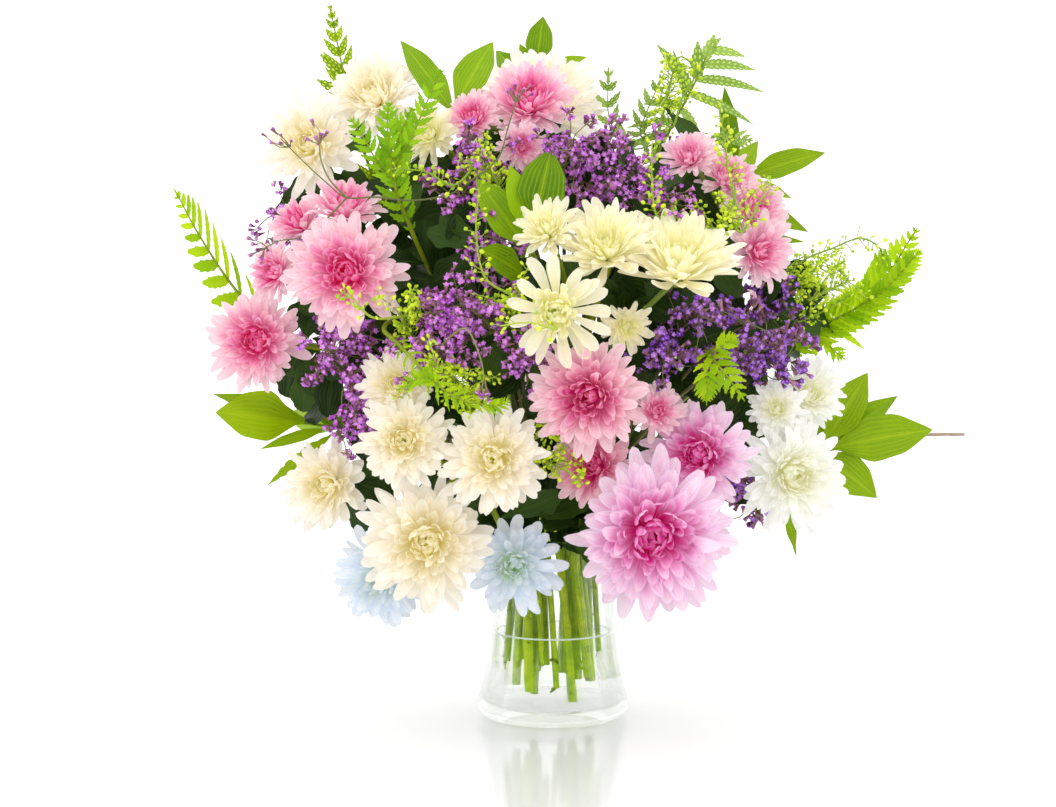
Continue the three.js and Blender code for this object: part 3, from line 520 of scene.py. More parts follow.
BLOOMS = {
    "bloom_white_top_left": ("cream", [(-105, 369, -40, 30, "full", (-0.3, 0.5))]),
    "bloom_white_far_left": ("cream", [(-144, 342, -45, 31, "loose", (-0.2, 0.1))]),
    "bloom_white_top_inner": ("ivory", [(-73, 348, -70, 20, "loose", (-0.4, 0.1))]),
    "bloom_white_top": ("cream", [(-8, 364, -15, 38, "full", (0.1, 0.7))]),
    "bloom_white_centre_small": ("ivory", [(-3, 290, -128, 22, "spiky", (-0.3, 0.7))]),
    "bloom_white_centre": ("ivory", [(32, 278, -125, 32, "spiky", (-0.1, 0.75))]),
    "bloom_white_centre_right": ("ivory", [(75, 268, -120, 38, "spiky", (0.1, 1.1)),
        (43, 234, -108, 17, "loose", (0.2, -0.3))]),
    "bloom_white_open": ("ivory", [(2, 243, -145, 34, "open", (-0.1, -0.05))]),
    "bloom_white_left_pair": ("cream", [(-93, 197, -105, 25, "full", (-0.15, 0.3)),
        (-89, 165, -118, 30, "full", (0, 0.1))]),
    "bloom_white_left": ("cream", [(-134, 139, -70, 29, "loose", (-0.35, 0))]),
    "bloom_white_middle": ("cream", [(-35, 154, -125, 34, "full", (-0.1, 0.1))]),
    "bloom_white_low_pair": ("cream", [(-76, 105, -105, 41, "full", (0, 0)),
        (-101, 85, -70, 31, "loose", (-0.3, -0.3), "cool")]),
    "bloom_white_low": ("cool", [(-23, 91, -80, 31, "loose", (0, -0.05))]),
    "bloom_white_right_group": ("milk", [(152, 192, -60, 23, "full", (0.2, 0.3)),
        (134, 184, -78, 19, "loose", (-0.2, 0.3)), (142, 145, -75, 34, "full", (0.2, 0))]),
    "bloom_pink_top_group": ("pink", [(-14, 365, -55, 30, "full", (-0.05, 0.7)),
        (-47, 357, -70, 18, "full", (-0.3, 0.5)), (-19, 341, -80, 16, "full", (0.1, 0), "blush")]),
    "bloom_pink_left_upper_pair": ("pink", [(-125, 302, -85, 25, "loose", (0.25, 1.3)),
        (-151, 294, -68, 20, "loose", (-0.7, 0.9))]),
    "bloom_pink_left_pair": ("pink", [(-123, 266, -105, 37, "full", (-0.05, 0.05)),
        (-165, 266, -88, 19, "full", (-0.7, 0.2))]),
    "bloom_pink_left": ("pink", [(-177, 225, -60, 31, "full", (-0.1, 0))]),
    "bloom_pink_right_group": ("blush", [(82, 333, -75, 19, "loose", (-0.3, 0.7)),
        (103, 321, -62, 20, "full", (0.3, 0.6)), (119, 302, -65, 22, "full", (0.5, 0.4)),
        (122, 278, -80, 23, "loose", (0.4, 0))]),
    "bloom_pink_centre": ("rose", [(22, 192, -135, 36, "full", (-0.2, -0.05))]),
    "bloom_pink_centre_low": ("rose", [(25, 150, -102, 28, "full", (-0.3, 0.1))]),
    "bloom_pink_right_pair": ("lilac", [(88, 157, -100, 36, "full", (-0.35, 0)),
        (62, 182, -108, 18, "loose", (0.1, 0.3), "blush")]),
    "bloom_pink_large": ("lilac", [(59, 110, -125, 50, "full", (0.05, -0.05))]),
    "bloom_white_back_top": ("cream", [(-35, 335, 85, 30, "full"), (8, 358, 70, 28, "full")]),
    "bloom_white_back_left": ("cream", [(-50, 255, 125, 33, "full"), (-85, 220, 112, 30, "full")]),
    "bloom_white_back_right": ("milk", [(45, 250, 128, 33, "full"), (75, 205, 118, 31, "full")]),
    "bloom_pink_back_top": ("pink", [(40, 315, 105, 31, "full")]),
    "bloom_pink_back_left": ("blush", [(-135, 270, 70, 32, "full")]),
    "bloom_pink_back_low": ("rose", [(-15, 180, 125, 34, "full")]),
    "bloom_pink_back_right": ("pink", [(125, 235, 80, 32, "full")]),
}
HEART = np.array([-5.0, 10.0, 205.0])
GOLDEN = math.pi * (3 - math.sqrt(5))
FRONT_DEPTH = 30
BLOOM_BACK = 0.28
FULLER = 1.08
USUAL_SIZE = 34
NEAR = 4
LEAST_ROOM = 3
WALL_GAP = 0.6
INTERLACE = (4.0, 9.0)
HEART_PETALS = 26
FORMS = {
    # petals, widths and curls at the centre and rim, pointedness, crowding of the centre, reaches,
    # angle of the rim petals from the way the head faces
    "full": dict(petals=156, widths=(0.105, 0.205), curls=(1.1, -0.26), point=0.62, gather=0.74,
                 reach=(0.84, 1.08), open=1.34),
    "loose": dict(petals=98, widths=(0.115, 0.235), curls=(0.95, -0.28), point=0.62, gather=0.8,
                  reach=(0.86, 1.10), open=1.3),
    "spiky": dict(petals=110, widths=(0.105, 0.215), curls=(0.55, -0.12), point=0.85, gather=0.74,
                  reach=(0.88, 1.12), open=1.2),
    "open": dict(petals=64, widths=(0.095, 0.235), curls=(1.25, -0.2), point=0.4, gather=0.95,
                 reach=(0.82, 1.08), open=1.36),
}


class Head:
    """One flower head: its centre, facing, size and the walls between it and its neighbours."""

    def __init__(self, node, tint, x, z, y, radius, form, look=None, own_tint=None):
        self.node, self.tint, self.form = node, own_tint or tint, form
        front = y < FRONT_DEPTH
        self.centre = seen(x, z, y)
        self.size = radius * (y + VIEW_DISTANCE) / VIEW_DISTANCE * FULLER if front else float(radius)
        self.facing = unit(np.array([look[0], -1.0, look[1]]) if look else self.centre - HEART)
        self.side = unit(np.cross(UP, self.facing))
        self.over = np.cross(self.facing, self.side)
        self.back = self.centre - self.facing * BLOOM_BACK * self.size

    def meet(self, others):
        """Sets a wall toward each neighbour, where the two heads' spheres cut each other."""
        normals, offsets = [], []
        for other in others:
            away = other.centre - self.centre
            distance = np.linalg.norm(away)
            if other is self or distance > self.size + other.size + NEAR:
                continue
            share = (distance ** 2 + self.size ** 2 - other.size ** 2) / (2 * distance)
            normals.append(away / distance)
            offsets.append(share - WALL_GAP)
        self.normals = np.array(normals).reshape(-1, 3)
        self.offsets = np.array(offsets)

    def clamped(self, ways, reach, slack=0.0):
        """How far a petal may grow along each way before it meets a neighbour's share."""
        if not len(self.offsets):
            return reach
        slope = ways @ self.normals.T
        room = np.maximum(self.offsets, LEAST_ROOM)[None] + np.reshape(slack, (-1, 1))
        limit = np.where(slope > 1e-6, room / np.maximum(slope, 1e-6), 1e9)
        return np.minimum(reach, limit.min(axis=1))

    def holds(self, points, share):
        """Which points lie well inside this head."""
        away = points - self.centre
        distance = np.linalg.norm(away, axis=1)
        ways = away / np.maximum(distance, 1e-9)[:, None]
        top = np.arccos(np.clip(ways @ self.facing, -1, 1))
        flat_back = BLOOM_BACK / np.maximum(np.abs(np.cos(top)), BLOOM_BACK)
        reach = np.where(top < 1.7, 0.5 + 0.3 * top, flat_back)
        return distance < share * self.clamped(ways, reach * self.size)


heads = [Head(node, tint, *row) for node, (tint, rows) in BLOOMS.items() for row in rows]
for head in heads:
    head.meet(heads)


def free_of_blooms(points, share):
    """Which points lie in no head, when each is reckoned at a share of its size."""
    return ~np.any([head.holds(points, share) for head in heads], axis=0)


PETAL_ROWS = np.array([0, 0.18, 0.36, 0.53, 0.68, 0.80, 0.90, 0.965, 1.0])
PETAL_COLUMNS = np.linspace(-1, 1, 5)
ROUND_OUTLINE = np.array([0.34, 0.42, 0.54, 0.72, 0.90, 1.0, 0.94, 0.70, 0.32])
POINTED_OUTLINE = np.array([0.40, 0.54, 0.74, 0.92, 1.0, 0.88, 0.62, 0.36, 0.10])
RIBS = np.array([0.0, -1.0, 1.0, -1.0, 0.0])


def add_petals(shape, base, first, second, tip, side, width, cup, point, twist, layer, rng):
    """Cupped, ribbed petals along cubic curves."""
    s = PETAL_ROWS[None, :, None]
    b, f, e, t = (p[:, None] for p in (base, first, second, tip))
    spine = b * (1 - s) ** 3 + 3 * f * s * (1 - s) ** 2 + 3 * e * s ** 2 * (1 - s) + t * s ** 3
    along = unit((f - b) * (1 - s) ** 2 + 2 * (e - f) * s * (1 - s) + (t - e) * s ** 2)
    inner = unit(np.cross(along, side[:, None]))
    across = np.cross(inner, along)
    angle = twist[:, None, None] * s
    across, inner = (across * np.cos(angle) + inner * np.sin(angle),
                     inner * np.cos(angle) - across * np.sin(angle))
    mix = point[:, None]
    outline = ROUND_OUTLINE[None] * (1 - mix) + POINTED_OUTLINE[None] * mix
    half = 0.5 * width[:, None] * outline
    c = PETAL_COLUMNS
    lean = rng.normal(0, 0.05, len(base))[:, None, None]
    lift = (cup[:, None, None] * (1.15 - 0.6 * s) * c ** 2 + 0.075 * RIBS * (0.4 + 0.6 * s)
            + lean * c * s) * half[..., None]
    points = (spine[:, :, None] + across[:, :, None] * (half[..., None] * c)[..., None]
              + inner[:, :, None] * lift[..., None])
    notch = rng.uniform(0.0, 0.22, len(base)) * width
    pull = np.zeros((len(base), len(PETAL_ROWS), len(c)))
    pull[:, -1, 2] = notch * 0.5
    pull[:, -1, (0, 4)] = (width * 0.06)[:, None]
    points -= along[:, :, None] * pull[..., None]
    chance = rng.random(len(base))
    values = stacked(layer[:, None, None], s, chance[:, None, None], np.abs(c))
    shape.grid(points, stacked(c * 0.5 + 0.5, s), values)


def add_head(shape, head, rng):
    """A chrysanthemum head: petals by the golden angle, short and curled in at the centre."""
    form = FORMS[head.form]
    grown = 1.0 if head.form == "open" else 0.7 + 0.3 * head.size / USUAL_SIZE
    count = int(form["petals"] * grown)
    order = (np.arange(count) + 0.5) / count
    layer = order ** form["gather"]
    if head.form == "open":
        layer = np.where(order > 0.7, 0.84 + 0.16 * (order - 0.7) / 0.3, order * 0.62)
    layer = np.concatenate([np.linspace(0.0, 0.1, HEART_PETALS), layer])
    count = len(layer)
    heart = np.arange(count) < HEART_PETALS
    turn = np.arange(count) * GOLDEN + rng.normal(0, 0.09, count)
    top = 0.12 + form["open"] * layer ** 0.92 + rng.normal(0, 0.07, count)
    top = np.where(heart, 0.06 + 3.4 * layer + rng.normal(0, 0.05, count), top)
    radial = turned(head.side, head.over, turn)
    way = turned(head.facing, radial, top)
    reach = (0.4 + 0.6 * layer ** 0.75) * rng.uniform(*form["reach"], count)
    reach = np.where(heart, rng.uniform(0.36, 0.45, count), reach)
    slack = INTERLACE[0] + (INTERLACE[1] - INTERLACE[0]) * layer
    allowed = head.clamped(way, reach * head.size, slack)
    squeeze = allowed / (reach * head.size)
    tip = head.centre + way * allowed[:, None]
    base = (head.centre + head.facing * (head.size * (-0.16 + 0.14 * (1 - layer)))[:, None]
            + radial * (head.size * (0.03 + 0.11 * layer))[:, None])
    line = tip - base
    length = np.linalg.norm(line, axis=1)
    slant = np.arctan2(np.einsum("ij,ij->i", line, radial), line @ head.facing)
    curl = form["curls"][0] + (form["curls"][1] - form["curls"][0]) * np.minimum(layer * 1.25, 1)
    curl = curl + rng.normal(0, 0.2, count)
    first = base + turned(head.facing, radial, slant + 0.5 * curl + 0.1) * (0.42 * length)[:, None]
    second = tip - turned(head.facing, radial, slant - 0.75 * curl) * (0.36 * length)[:, None]
    side = np.cross(head.facing, radial)
    second = second + side * (rng.normal(0, 0.062, count) * head.size)[:, None]
    low, high = form["widths"]
    width = head.size * (low + (high - low) * layer) * rng.uniform(0.84, 1.14, count)
    width = width * (0.55 + 0.45 * squeeze)
    cup = 0.95 - 0.55 * layer + rng.normal(0, 0.08, count)
    point = np.clip(form["point"] + rng.normal(0.0, 0.18, count), 0, 1)
    twist = rng.normal(0, 0.27, count)
    add_petals(shape, base, first, second, tip, side, width, cup, point, twist, layer, rng)


# Places along the facing and radii of the calyx's rings, as shares of the head's size.
CALYX_ROWS = np.array([[-0.285, 0.045], [-0.27, 0.10], [-0.23, 0.15], [-0.17, 0.17], [-0.10, 0.15]])


def add_calyx(shape, head, rng):
    """Green scales that hold the petals from behind."""
    angle = circle(20)
    wave = 1 + 0.05 * np.cos(10 * angle)
    radial = turned(head.side, head.over, angle)
    points = (head.centre + head.facing * (CALYX_ROWS[:, 0] * head.size)[:, None, None]
              + radial[None] * (CALYX_ROWS[:, 1:] * wave[None] * head.size)[..., None])
    shape.grid(points[None], values=np.array([0.5, 0.5, rng.random(), 0.0]), wrap=True)


rng = np.random.default_rng(11)
forks = Shape()
for node, (tint, rows) in BLOOMS.items():
    own = [head for head in heads if head.node == node]
    flowers = {head.tint: Shape() for head in own}
    for head in own:
        add_head(flowers[head.tint], head, rng)
        add_calyx(forks, head, rng)
    for own_tint, flower in flowers.items():
        flower.build(node + ("_petals" if own_tint == tint else f"_petals_{own_tint}"), PETALS[own_tint],
                     f"{'pink' if 'pink' in node else 'white'}_petals", [node])
    if len(own) > 1:
        way = unit(np.sum([head.facing for head in own], axis=0))
        foot = np.mean([head.back for head in own], axis=0) - way * 12
        fork = foot + way * 3
        tube(forks, [foot, fork + way], 1.7)
        for head in own:
            seat = head.back + head.facing * 3
            bow = fork + (seat - fork) * 0.5 + way * 1.5
            tube(forks, spline([fork, bow, seat], 7), 1.5)
forks.build("bloom_forks", CALYX, "green_stems")


# ---- stems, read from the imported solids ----

# The longest edge across a branch of a stem and across a twig of a spray.
BRANCH_EDGE, TWIG_EDGE = 3.2, 2.0


def welded(node):
    """A CAD node's vertices in millimetres, welded, with the neighbours of each."""
    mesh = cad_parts[node].data
    points = np.zeros(len(mesh.vertices) * 3, np.float32)
    mesh.vertices.foreach_get("co", points)
    points = points.reshape(-1, 3) / MM
    keys, first, index = np.unique(np.round(points, 3), axis=0, return_index=True, return_inverse=True)
    index = index.reshape(-1)
    near = [set() for _ in keys]
    for edge in mesh.edges:
        a, b = index[edge.vertices[0]], index[edge.vertices[1]]
        if a != b:
            near[a].add(int(b))
            near[b].add(int(a))
    return points[first], near


def rings_from(points, near, ring):
    """Follows a swept solid ring by ring from its end until it meets another body."""
    sides = len(ring)
    passed, rings = set(ring), []
    while len(ring) == sides:
        rings.append(points[sorted(ring)])
        ring = set().union(*(near[i] for i in ring)) - passed
        passed |= ring
    return rings


def centres_of(rings):
    return np.array([ring.mean(axis=0) for ring in rings])


def stalk_of(node, sides):
    """Centres and radii of a stem's rings, from its cut end up."""
    points, near = welded(node)
    rings = rings_from(points, near, set(int(i) for i in np.argsort(points[:, 2])[:sides]))
    centres = centres_of(rings)
    return centres, np.linalg.norm(rings[0] - centres[0], axis=1).mean()


def branches_of(node, edge):
    """The three-sided branches of a node, each as rings from its root to its free end."""
    points, near = welded(node)
    found, used = [], set()
    for a, around in enumerate(near):
        for b in around:
            for c in near[b] & around:
                ring = frozenset((a, b, c))
                beyond = (near[a] | near[b] | near[c]) - ring
                corners = points[sorted(ring)]
                longest = max(np.linalg.norm(corners[i] - corners[i - 1]) for i in range(3))
                if ring not in used and len(beyond) == 3 and longest < edge:
                    used.add(ring)
                    found.append(rings_from(points, near, set(ring))[::-1])
    return sorted(found, key=lambda rings: tuple(np.round(rings[-1].mean(axis=0), 2)))


def rooted(path, stem):
    """A branch path led into the nearest lower point of the stem that it grows from."""
    away = np.linalg.norm(stem - path[0], axis=1) + np.maximum(stem[:, 2] - path[0][2], 0) * 2
    return np.vstack([stem[np.argmin(away)], path])


def add_stem(shape, path, radius, taper, rng):
    """A ridged stem with swollen nodes, and short stubs where leaves were."""
    steps = len(path)
    radii = radius * (1 - taper * np.linspace(0, 1, steps) ** 3)
    chance = rng.random()
    length = length_of(path)
    along, across, outward = frames_along(path, SLANT)
    place = rng.uniform(4, 12)
    while place < length - 10:
        row = int(place / length * (steps - 1))
        radii[max(row - 1, 0):row + 2] *= 1.07
        radii[row] *= 1.06
        turn = rng.uniform(0, 2 * np.pi)
        out = across[row] * np.cos(turn) + outward[row] * np.sin(turn)
        start = path[row] + out * radii[row] * 0.6
        end = start + out * radius * rng.uniform(0.7, 1.3) + along[row] * radius * rng.uniform(0.3, 1.2)
        tube(shape, [start, (start + end) / 2 + along[row] * 0.3, end],
             [radius * 0.34, radius * 0.26, radius * 0.16], 6, chance)
        place += rng.uniform(11, 24)
    tube(shape, path, radii, 14, chance, ridges=0.035)


rng = np.random.default_rng(23)
paths = {}
for name in ("white_top", "white_centre", "white_left", "white_right", "pink_top", "pink_left",
             "pink_right", "white_back", "pink_back"):
    node = "stem_" + name
    stem = Shape()
    centres, radius = stalk_of(node, 5)
    main = smooth_path(centres)
    add_stem(stem, main, radius * 0.86, 0.3, rng)
    paths[node] = [main]
    for rings in branches_of(node, BRANCH_EDGE):
        branch = smooth_path(rooted(centres_of(rings), main), 3.0)
        add_rod(stem, branch, 2.1, 1.6, 8, rng, 0.03)
        paths[node].append(branch)
    stem.build(node + "_fine", STEM, "green_stems", [node])

# ---- leaves and fronds ----

LEAF_FACING = unit(np.array([0.0, -1.0, 0.35]))
# The part of each blade's width that it has at shares of its length.
LEAF_OUTLINE = ([0.0, 0.1, 0.4, 0.7, 1.0], [0.07, 0.08, 0.96, 0.8, 0.03])
FILL_OUTLINE = ([0, 0.12, 0.5, 0.8, 1.0], [0.08, 0.12, 0.95, 0.8, 0.1])
SHADED_OUTLINE = ([0, 0.1, 0.55, 0.85, 1.0], [0.08, 0.14, 1.0, 0.8, 0.12])
SCRAP_OUTLINE = ([0, 0.2, 0.6, 1.0], [0.2, 0.7, 1.0, 0.2])
SIDE_PLAN = dict(crowd=1.2, long=(9, 9), wide=(4.4, 4.4), lean=(0.9, 0.9), bare=0.15, teeth=4,
                 depth=0.3, blunt=2.4, taper=(0.45, 0.45))
FERN_LOOKS = {"lime": FERN, "bright": FERN, "green": FERN_DEEP, "sori": FERN_SORI,
              "sori_green": FERN_SORI_DEEP}
FROND_STEPS = 120
FRONDS = {
    # node: seen points, look, plan of the leaflets, side fronds (share of the main one where each
    # starts, seen points, pairs, scale). A plan has pairs, crowding to the tip, then longest, widest
    # and lean ahead at left and right, bare share, teeth, their depth, bluntness, taper to the tip
    "fern_top_left": ([(-92, 285, 12), (-112, 335, 2), (-124, 380, -8), (-133, 424, -14)], "sori",
        dict(pairs=13, crowd=1.5, long=(17, 16), wide=(5.8, 5.8), lean=(1.3, 1.5), bare=0.3, teeth=7,
        depth=0.2, blunt=2.4, taper=(0.3, 0.3)), []),
    "fern_far_left": ([(-152, 214, 10), (-190, 255, -8), (-212, 288, -14), (-226, 314, -16)], "lime",
        dict(pairs=12, crowd=1.15, long=(19, 23), wide=(8.8, 3.0), lean=(0.4, 1.7), bare=0.25, teeth=6,
        depth=0.2, blunt=5.0, taper=(0.17, 0.42)), []),
    "fern_inner_left": ([(-84, 290, -80), (-94, 316, -98), (-94, 340, -104), (-84, 364, -104)], "green",
        dict(pairs=14, crowd=1.2, long=(13, 13), wide=(6.0, 6.0), lean=(0.9, 0.9), bare=0.2, teeth=5,
        depth=0.3, blunt=2.5), [(0.38, [(-104, 330, -106), (-112, 344, -108), (-121, 358, -106)], 9, 0.9),
        (0.45, [(-98, 342, -112), (-99, 355, -112), (-98, 367, -110)], 8, 0.9),
        (0.5, [(-84, 348, -112), (-76, 366, -112), (-67, 387, -108)], 11, 0.9)]),
    "fern_top_right": ([(48, 310, 14), (68, 348, 8), (84, 378, -2), (96, 406, -10)], "sori_green",
        dict(pairs=0), [(0.3, [(46, 340, -6), (34, 356, -12), (33, 388, -16)], 9, 1.2),
        (0.3, [(52, 348, -8), (56, 362, -12), (66, 384, -16)], 8, 1.1),
        (0.42, [(92, 344, -8), (106, 346, -12), (118, 344, -14)], 8, 0.9)]),
    "fern_far_right": ([(118, 214, 22), (156, 232, 4), (188, 250, -12), (217, 292, -24)], "bright",
        dict(pairs=26, crowd=1.1, long=(17, 17), wide=(6.6, 6.6), lean=(0.8, 0.9), bare=0.2, teeth=5,
        depth=0.3, blunt=3.4), [(0.6, [(196, 254, -18), (208, 266, -22), (219, 279, -24)], 15, 1.0),
        (0.25, [(160, 226, 0), (168, 219, 0), (173, 215, 0)], 6, 0.9)]),
    "fern_front_right": ([(90, 220, -92), (94, 216, -108), (104, 204, -116), (114, 190, -118)], "lime",
        dict(pairs=9, crowd=1.0, long=(11, 11), wide=(5.6, 5.6), lean=(0.8, 0.8), bare=0.15, teeth=5,
        depth=0.3, blunt=2.5), [(0.2, [(92, 206, -116), (92, 198, -118), (92, 190, -118)], 8, 1.0),
        (0.15, [(98, 219, -114), (104, 224, -116), (109, 227, -116)], 7, 0.9)]),
    "fern_front_left": ([(-98, 228, -112), (-84, 214, -134), (-66, 196, -142), (-48, 186, -142)], "bright",
        dict(pairs=12, crowd=1.0, long=(9, 10), wide=(3.0, 2.6), lean=(0.9, 0.9), bare=0.15, teeth=5,
        depth=0.4, blunt=2.0), [(0.62, [(-74, 202, -144), (-82, 202, -142), (-94, 195, -138)], 11, 0.8),
        (0.9, [(-42, 187, -144), (-34, 186, -142), (-27, 189, -140)], 8, 0.7)]),
}
LONG_LEAFLETS = {
    # node: leaflets (share of the frond, seen tip, depth against the frond, width)
    "fern_top_right": [(0.62, (62, 401), -4, 7.5), (0.70, (86, 403), -5, 7.4), (0.84, (96, 407), -4, 6.4),
        (0.92, (100, 405), -2, 4.0), (0.9, (114, 394), -4, 6.0), (0.8, (120, 386), -5, 6.4),
        (0.7, (125, 373), -6, 6.0), (0.6, (119, 354), -6, 5.4), (0.5, (88, 346), -6, 5.0),
        (0.52, (54, 366), -2, 5.4), (0.42, (44, 352), -2, 4.6), (0.36, (38, 336), -2, 4.4),
        (0.56, (71, 399), -2, 3.6), (0.45, (82, 334), -4, 4.6)],
    "fern_top_left": [(0.68, (-139, 396), -2, 6.6), (0.58, (-141, 381), -2, 7.0),
        (0.62, (-108, 394), 2, 6.4), (0.5, (-140, 366), 0, 6.0)],
    "fern_far_right": [(0.34, (169, 215), -4, 5.0), (0.3, (158, 214), -4, 5.0), (0.26, (146, 216), -4, 4.6),
        (0.4, (186, 220), -4, 4.8)],
}
RUSCUS = {
    # node: seen points of the stem, leaves (share of the stem or foot, tip, width, lobes), look
    "ruscus_left": ([(-60, 150, 20), (-105, 168, 18), (-150, 176, 2)],
        [(0.98, (-203, 182, -12), 34), (0.6, (-152, 196, 28), 22), (0.75, (-172, 138, -6), 9, 9),
        (0.7, (-158, 182, 62), 24), (0.9, (-204, 193, -4), 13), (0.8, (-176, 160, -2), 8)], "light"),
    "ruscus_top": ([(-20, 300, 30), (-16, 350, 32), (-10, 388, 18)],
        [(0.98, (-6, 418, 14), 18), (0.9, (-30, 396, 6), 14), (0.92, (20, 394, 8), 11),
        (0.8, (-34, 398, 48), 18), (0.9, (-20, 402, 8), 10), ((-56, 356, -62), (-91, 404, -34), 17),
        ((-60, 362, -60), (-36, 403, -36), 22)], "dark"),
    "ruscus_centre": ([(-6, 230, -66), (-14, 262, -92), (-12, 292, -108)],
        [(0.98, (-1, 340, -118), 28), (0.75, (-46, 322, -104), 22), (0.5, (-44, 280, -128), 20),
        (0.9, (-26, 330, -114), 16)], "dark"),
    "ruscus_upper_right": ([(62, 262, 30), (90, 300, 22), (112, 322, 4)],
        [(0.98, (162, 337, -8), 18), (0.9, (102, 376, 4), 13), (0.95, (142, 310, -22), 10),
        (0.75, (152, 290, 14), 15), (0.65, (122, 344, 44), 18), (0.3, (150, 284, -10), 12)], "light"),
    "ruscus_right": ([(84, 148, 10), (128, 158, -4), (164, 160, -22)],
        [(0.95, (188, 206, -18), 24), (0.98, (227, 172, -28), 30), (0.9, (194, 131, -34), 26),
        (0.92, (206, 192, 2), 16), (0.55, (146, 96, -20), 10, 5), (0.7, (186, 176, 34), 24),
        (0.6, (206, 192, -20), 10)], "light"),
}
DRY_TWIG = [(206, 168, -4), (246, 169, -2)]


def lay(shape, points, t, c, chance, repeats=1):
    """Adds a blade's grid of points; its uv runs along it over again for each repeat."""
    shape.grid(points[None], stacked(c[None] * 0.5 + 0.5, t[:, None] * repeats),
               stacked(0.5, t[:, None], chance, np.abs(c)[None]))


def add_blade(shape, base, tip, width, rng, rows=18, facing=LEAF_FACING, fold=0.16, arch=0.1,
              outline=LEAF_OUTLINE, lobes=0, wave=0.03):
    """A leaf: a folded, arched blade on a short stalk, its edges waved or lobed."""
    t = np.linspace(0, 1, rows)
    middle = (base + tip) / 2 + facing * np.linalg.norm(tip - base) * arch
    path = (base[None] * ((1 - t) ** 2)[:, None] + middle[None] * (2 * t * (1 - t))[:, None]
            + tip[None] * (t ** 2)[:, None])
    along, across, outward = frames_along(path, facing)
    half = 0.5 * width * np.interp(t, *outline)
    half = np.maximum(np.convolve(np.pad(half, 1, "edge"), [0.25, 0.5, 0.25], "valid"), 0.25)
    half[-1] = 0.15
    if lobes:
        half = half * (0.72 + 0.28 * np.abs(np.cos(np.pi * lobes * t)))
    c = np.linspace(-1, 1, 7)
    aside = np.abs(c)[None]
    phase = rng.uniform(0, 6)
    ripple = wave * width * np.sin(t * 11 + phase)[:, None] * c[None] ** 2 * (half / width)[:, None] * 2
    rise = fold * half[:, None] * aside ** 1.3 + ripple
    ahead = (0.25 if lobes else 0.0) * half[:, None] * aside
    points = (path[:, None] + across[:, None] * (half[:, None] * c[None])[..., None]
              + outward[:, None] * rise[..., None] + along[:, None] * ahead[..., None])
    lay(shape, points, t, c, rng.random())


def add_leaflet(shape, base, way, forward, outward, length, width, lobes, depth, chance, blunt=1.6):
    """A fern leaflet that tapers to its tip, its edges cut into teeth that lean ahead."""
    t = np.sort(np.concatenate([np.arange(lobes), np.arange(lobes) + 0.72, [lobes]]) / lobes)
    wide = np.append(np.tile([1 - depth, 1.0], lobes), 0.3)
    path = (base + way * (length * t)[:, None] + forward * (0.14 * length * t ** 2)[:, None]
            + outward * (length * 0.09 * np.sin(np.pi * t))[:, None])
    along, across, _ = frames_along(path, outward)
    half = 0.5 * width * wide * np.clip(1.04 - t ** blunt, 0.05, 1) * (1 - 0.5 * np.exp(-t * 10))
    c = np.linspace(-1, 1, 5)
    aside = np.abs(c)[None]
    slide = 0.35 * depth * width * aside * (wide > 0.99)[:, None]
    points = (path[:, None] + across[:, None] * (half[:, None] * c[None])[..., None]
              + along[:, None] * slide[..., None] + outward * (0.16 * half[:, None] * aside)[..., None])
    lay(shape, points, t, c, chance, lobes)


def add_pinnae(shape, rachis, plan, rng, pairs, scale=1.0):
    """Leaflets in pairs along a frond, closer together toward its tip."""
    total = length_of(rachis)
    along, across, outward = frames_along(rachis, LEAF_FACING)
    places = 1 - (1 - (np.arange(pairs) + 0.3) / pairs) ** plan["crowd"]
    for index, t in enumerate(places):
        row = int(round(t * (len(rachis) - 1)))
        spacing = total * (places[min(index + 1, pairs - 1)] - places[max(index - 1, 0)]) / 2
        ahead = (1 - t) * total
        grown = min(1.0, (0.22 + t / max(plan["bare"], 0.05)))
        for sign, long, wide, lean in zip((1, -1), plan["long"], plan["wide"], plan["lean"]):
            way = unit(across[row] * sign + along[row] * lean)
            length = min(scale * long * grown, 2.0 + plan["taper"][sign < 0] * ahead)
            width = scale * min(wide, 1.35 * max(spacing, 2.2), 0.62 * length)
            add_leaflet(shape, rachis[row], way, along[row], unit(outward[row] + across[row] * 0.12 * sign),
                        length * rng.uniform(0.94, 1.08), width * rng.uniform(0.92, 1.06),
                        max(3, int(plan["teeth"] * length / (scale * long) + 0.5)), plan["depth"],
                        rng.random(), plan["blunt"])
    tip = max(1, int(len(rachis) * (1 - 7.0 * scale / total)))
    add_leaflet(shape, rachis[tip], along[-1], along[-1], outward[-1], 7.0 * scale, 2.4 * scale, 4, 0.3,
                rng.random())


def build_stalk(shape, node, slot, low, above, radius, end_radius, sides, ridges):
    """A stem that is even over its low part, where leaves may spring, and then grows thinner."""
    radii = np.concatenate([np.full(len(low), radius * 1.05), np.linspace(radius, end_radius, len(above))])
    tube(shape, np.vstack([low, above]), radii, sides, rng.random(), ridges)
    shape.build(node + "_stalk", STEM, slot)
    paths[node] = [low]


